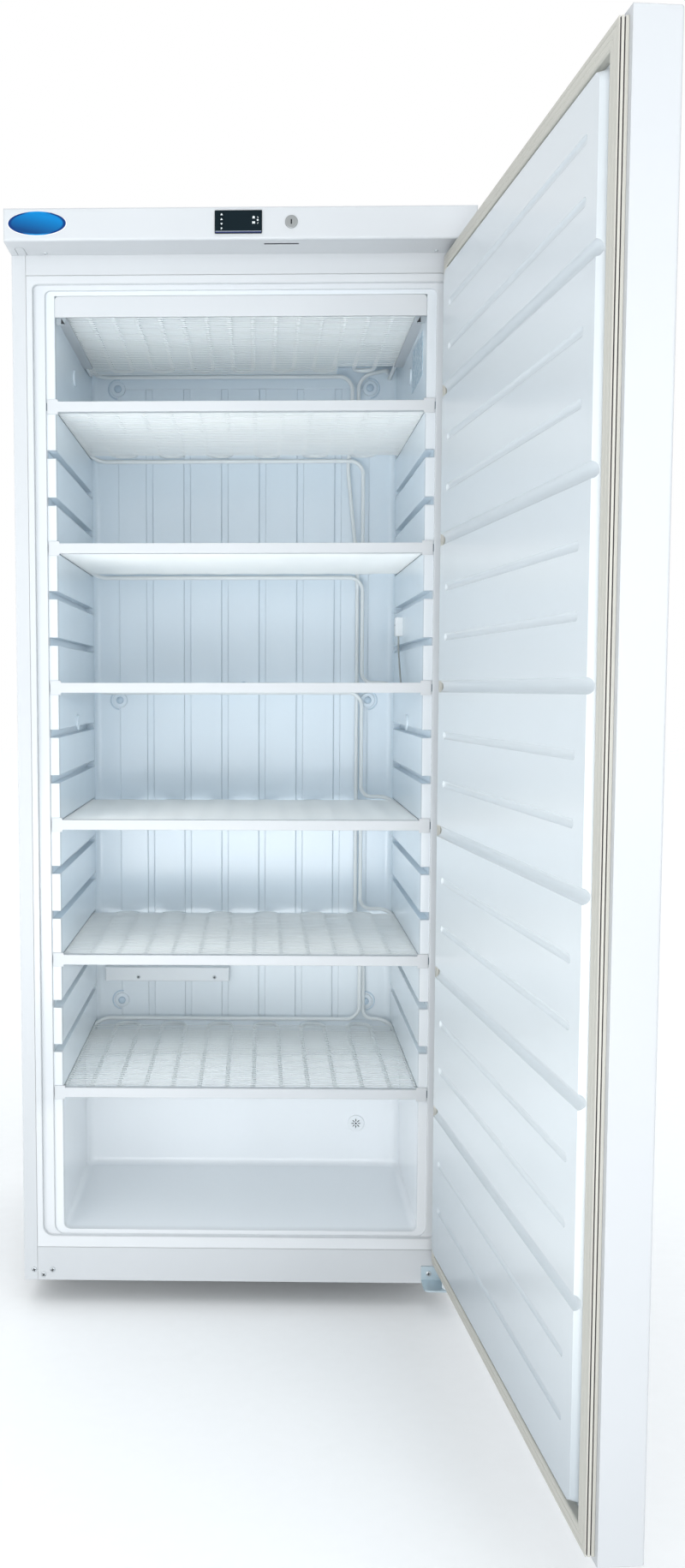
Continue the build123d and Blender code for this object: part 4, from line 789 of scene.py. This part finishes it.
def wall_knobs():
    """The rounded knobs on the back wall, and the beads that run around the bosses, darker than the
    liner as painted shade.
    """
    knobs, beads = [], []
    for z in BOSS_HEIGHTS:
        for side in (-1, 1):
            face = surface_map((side * BOSS_X, BACK_WALL, z), (side, 0, 0), (0, 0, 1), (0, -1, 0))
            knobs.append(dome_mesh(lifted(face, BOSS_OUT), KNOB_RADIUS, KNOB_LEVELS))
            beads.append(bead_mesh(face, *BEAD))
    face = front_face(0.0, BOSS_HEIGHTS[1] + MIDDLE_KNOB_UP, BACK_WALL)
    knobs.append(dome_mesh(face, KNOB_RADIUS, KNOB_LEVELS))
    points, faces = merged(knobs)
    piece("wall_knobs", points, faces, ["knob"], "cabinet")
    points, faces = merged(beads)
    piece("wall_beads", points, faces, ["bead"], "cabinet")


def rack_gap_shade():
    """Painted shade in the thin gaps beside the racks and at the ends of the shelf strips."""
    joints = []
    for z in SHELF_HEIGHTS:
        for side in (-1, 1):
            wall = surface_map((side * WALL_X, RACK_MIDDLE, z), (0, 1, 0), (0, 0, 1), (-side, 0, 0))
            for up in (-RACK_HALF, RACK_HALF):
                joints.append(plate_mesh(moved(bar(456.0, 0.9, 0.3), 0.0, up), wall, 0.0, 0.2))
            # On the left, only the top strip leaves a gap at its end.
            if side > 0 or z == SHELF_HEIGHTS[0]:
                end = front_face(side * STRIP_END_X, z, STRIP_Y)
                joints.append(plate_mesh(bar(1.2, 13.0, 0.4), end, 0.0, 0.3))
    points, faces = merged(joints)
    piece("rack_gap_shade", points, faces, ["gap_shade"], "cabinet", smooth=False)


# The end of a ceiling rail: its place at the right, the folded plate and its opening, both in
# painted shade
RAIL_END = (0.3055, 0.0165, 1.737)
RAIL_HOOK = [(-6.5, 6.0), (-4.0, -6.0), (9.5, -6.0), (11.5, 6.0)]
RAIL_HOLE = [(-4.5, -4.5), (2.5, -4.0), (2.0, 5.5)]


def rail_ends():
    """The small folded ends of the ceiling rails in painted shade, with darker painted shade in
    their openings.
    """
    x, y, z = RAIL_END
    for side, name in ((-1, "left"), (1, "right")):
        face = surface_map((side * x, y, z), (side, 0, 0), (0, 0, 1), (0, -1, 0))
        plate(f"rail_end_{name}", RAIL_HOOK, face, -1.5, 0.0, "shade", "cabinet")
        plate(f"rail_shade_{name}", RAIL_HOLE, face, 0.0, 0.3, "hole", "cabinet")


# The grommet of the vent: its middle, the bottom of its bore and its front, and the slots
VENT_X = 0.2324
VENT_Z = 0.2218
VENT_BOTTOM = 0.3322
VENT_FRONT = 0.3295
VENT_SLOTS = 8
VENT_SLOT_LEVELS = (-0.4, 0.05)


def vent_shade():
    """Painted shade: a dark disc at the bottom of the grommet's bore, and dark plates on the hub
    and slots in its front.
    """
    face = front_face(VENT_X, VENT_Z, VENT_BOTTOM)
    plate("vent_shade", disc(10.0), face, -1.0, 0.0, "hole", "cabinet")
    face = front_face(VENT_X, VENT_Z, VENT_FRONT)
    slots = [plate_mesh(disc(1.9, 16), face, *VENT_SLOT_LEVELS)]
    outline = moved(bar(4.4, 1.4, 0.5), 6.0, 0.0)
    for i in range(VENT_SLOTS):
        turn = math.tau * i / VENT_SLOTS
        across = (math.cos(turn), 0, math.sin(turn))
        up = (-math.sin(turn), 0, math.cos(turn))
        face = surface_map((VENT_X, VENT_FRONT, VENT_Z), across, up, (0, -1, 0))
        slots.append(plate_mesh(outline, face, *VENT_SLOT_LEVELS))
    points, faces = merged(slots)
    piece("vent_slot_shade", points, faces, ["hole"], "cabinet", smooth=False)


# The sensor clip's inner face and the outline of its notch
CLIP_FACE = (0.303, 0.338, 1.2345)
CLIP_NOTCH = [(-4.0, 2.0), (-1.0, 0.0), (-4.0, -2.0), (3.5, -0.6), (3.5, 0.6)]


def clip_notch_shade():
    """Painted shade in the notch of the sensor clip."""
    face = surface_map(CLIP_FACE, (0, 1, 0), (0, 0, 1), (-1, 0, 0))
    plate("clip_notch_shade", CLIP_NOTCH, face, 0.0, 0.2, "gap_shade", "cabinet")


def world():
    """A pale sky that lights the object and shows white behind it."""
    made = bpy.data.worlds.new("sky")
    made.use_nodes = True
    tree = made.node_tree
    tree.nodes.clear()
    out = node(tree, "ShaderNodeOutputWorld")
    light = node(tree, "ShaderNodeBackground")
    light.inputs["Color"].default_value = SKY_COLOUR
    height = node(tree, "ShaderNodeSeparateXYZ")
    link(tree, node(tree, "ShaderNodeTexCoord").outputs["Generated"], height.inputs[0])
    climb = maths(tree, "POWER", maths(tree, "MAXIMUM", height.outputs["Z"], 0.0), 2.0)
    strength = maths(tree, "ADD", maths(tree, "MULTIPLY", climb, SKY_RISE), SKY_LOW)
    link(tree, strength, light.inputs["Strength"])
    shown = node(tree, "ShaderNodeBackground")
    shown.inputs["Color"].default_value = BACKGROUND
    shown.inputs["Strength"].default_value = 1.0
    ray = node(tree, "ShaderNodeLightPath")
    seen = maths(tree, "MAXIMUM", ray.outputs["Is Camera Ray"], ray.outputs["Is Glossy Ray"])
    seen = maths(tree, "MAXIMUM", seen, ray.outputs["Is Transmission Ray"])
    mix = node(tree, "ShaderNodeMixShader")
    link(tree, seen, mix.inputs[0])
    link(tree, light.outputs[0], mix.inputs[1])
    link(tree, shown.outputs[0], mix.inputs[2])
    link(tree, mix.outputs[0], out.inputs["Surface"])
    bpy.context.scene.world = made


def floor():
    """A pale floor that keeps the object's shadow."""
    bpy.ops.mesh.primitive_plane_add(size=FLOOR_SIZE, location=(0.0, 0.0, -FLOOR_DROP))
    made = bpy.context.object
    made.name = "floor"
    material, tree, shader = new_material("floor")
    shader.inputs["Roughness"].default_value = 0.9
    link(tree, ramp(tree, noise(tree, 40.0), *FLOOR), shader.inputs["Base Color"])
    made.data.materials.append(material)


def lamp(name, place, aim, size, power):
    """A soft rectangular lamp turned to a point, not seen by the camera itself."""
    data = bpy.data.lights.new(name, "AREA")
    data.shape = "RECTANGLE"
    data.size, data.size_y = size
    data.energy = power
    data.color = LAMP_COLOUR
    made = bpy.data.objects.new(name, data)
    made.location = place
    made.rotation_euler = (Vector(aim) - Vector(place)).to_track_quat("-Z", "Y").to_euler()
    made.visible_camera = False
    bpy.context.scene.collection.objects.link(made)


def camera():
    """The camera at the photograph's place."""
    data = bpy.data.cameras.new("camera")
    data.sensor_width = CAMERA_SENSOR
    data.lens = CAMERA_LENS
    data.shift_x = CAMERA_SHIFT
    made = bpy.data.objects.new("camera", data)
    made.location = CAMERA_PLACE
    made.rotation_euler = (CAMERA_TILT, 0.0, CAMERA_TURN)
    bpy.context.scene.collection.objects.link(made)
    bpy.context.scene.camera = made


dress_parts()
badge()
seal()
screws()
controller_marks()
keyhole()
wall_knobs()
rack_gap_shade()
rail_ends()
vent_shade()
clip_notch_shade()
world()
floor()
for row in LAMPS:
    lamp(*row)
camera()
bpy.context.scene.view_settings.view_transform = "Standard"
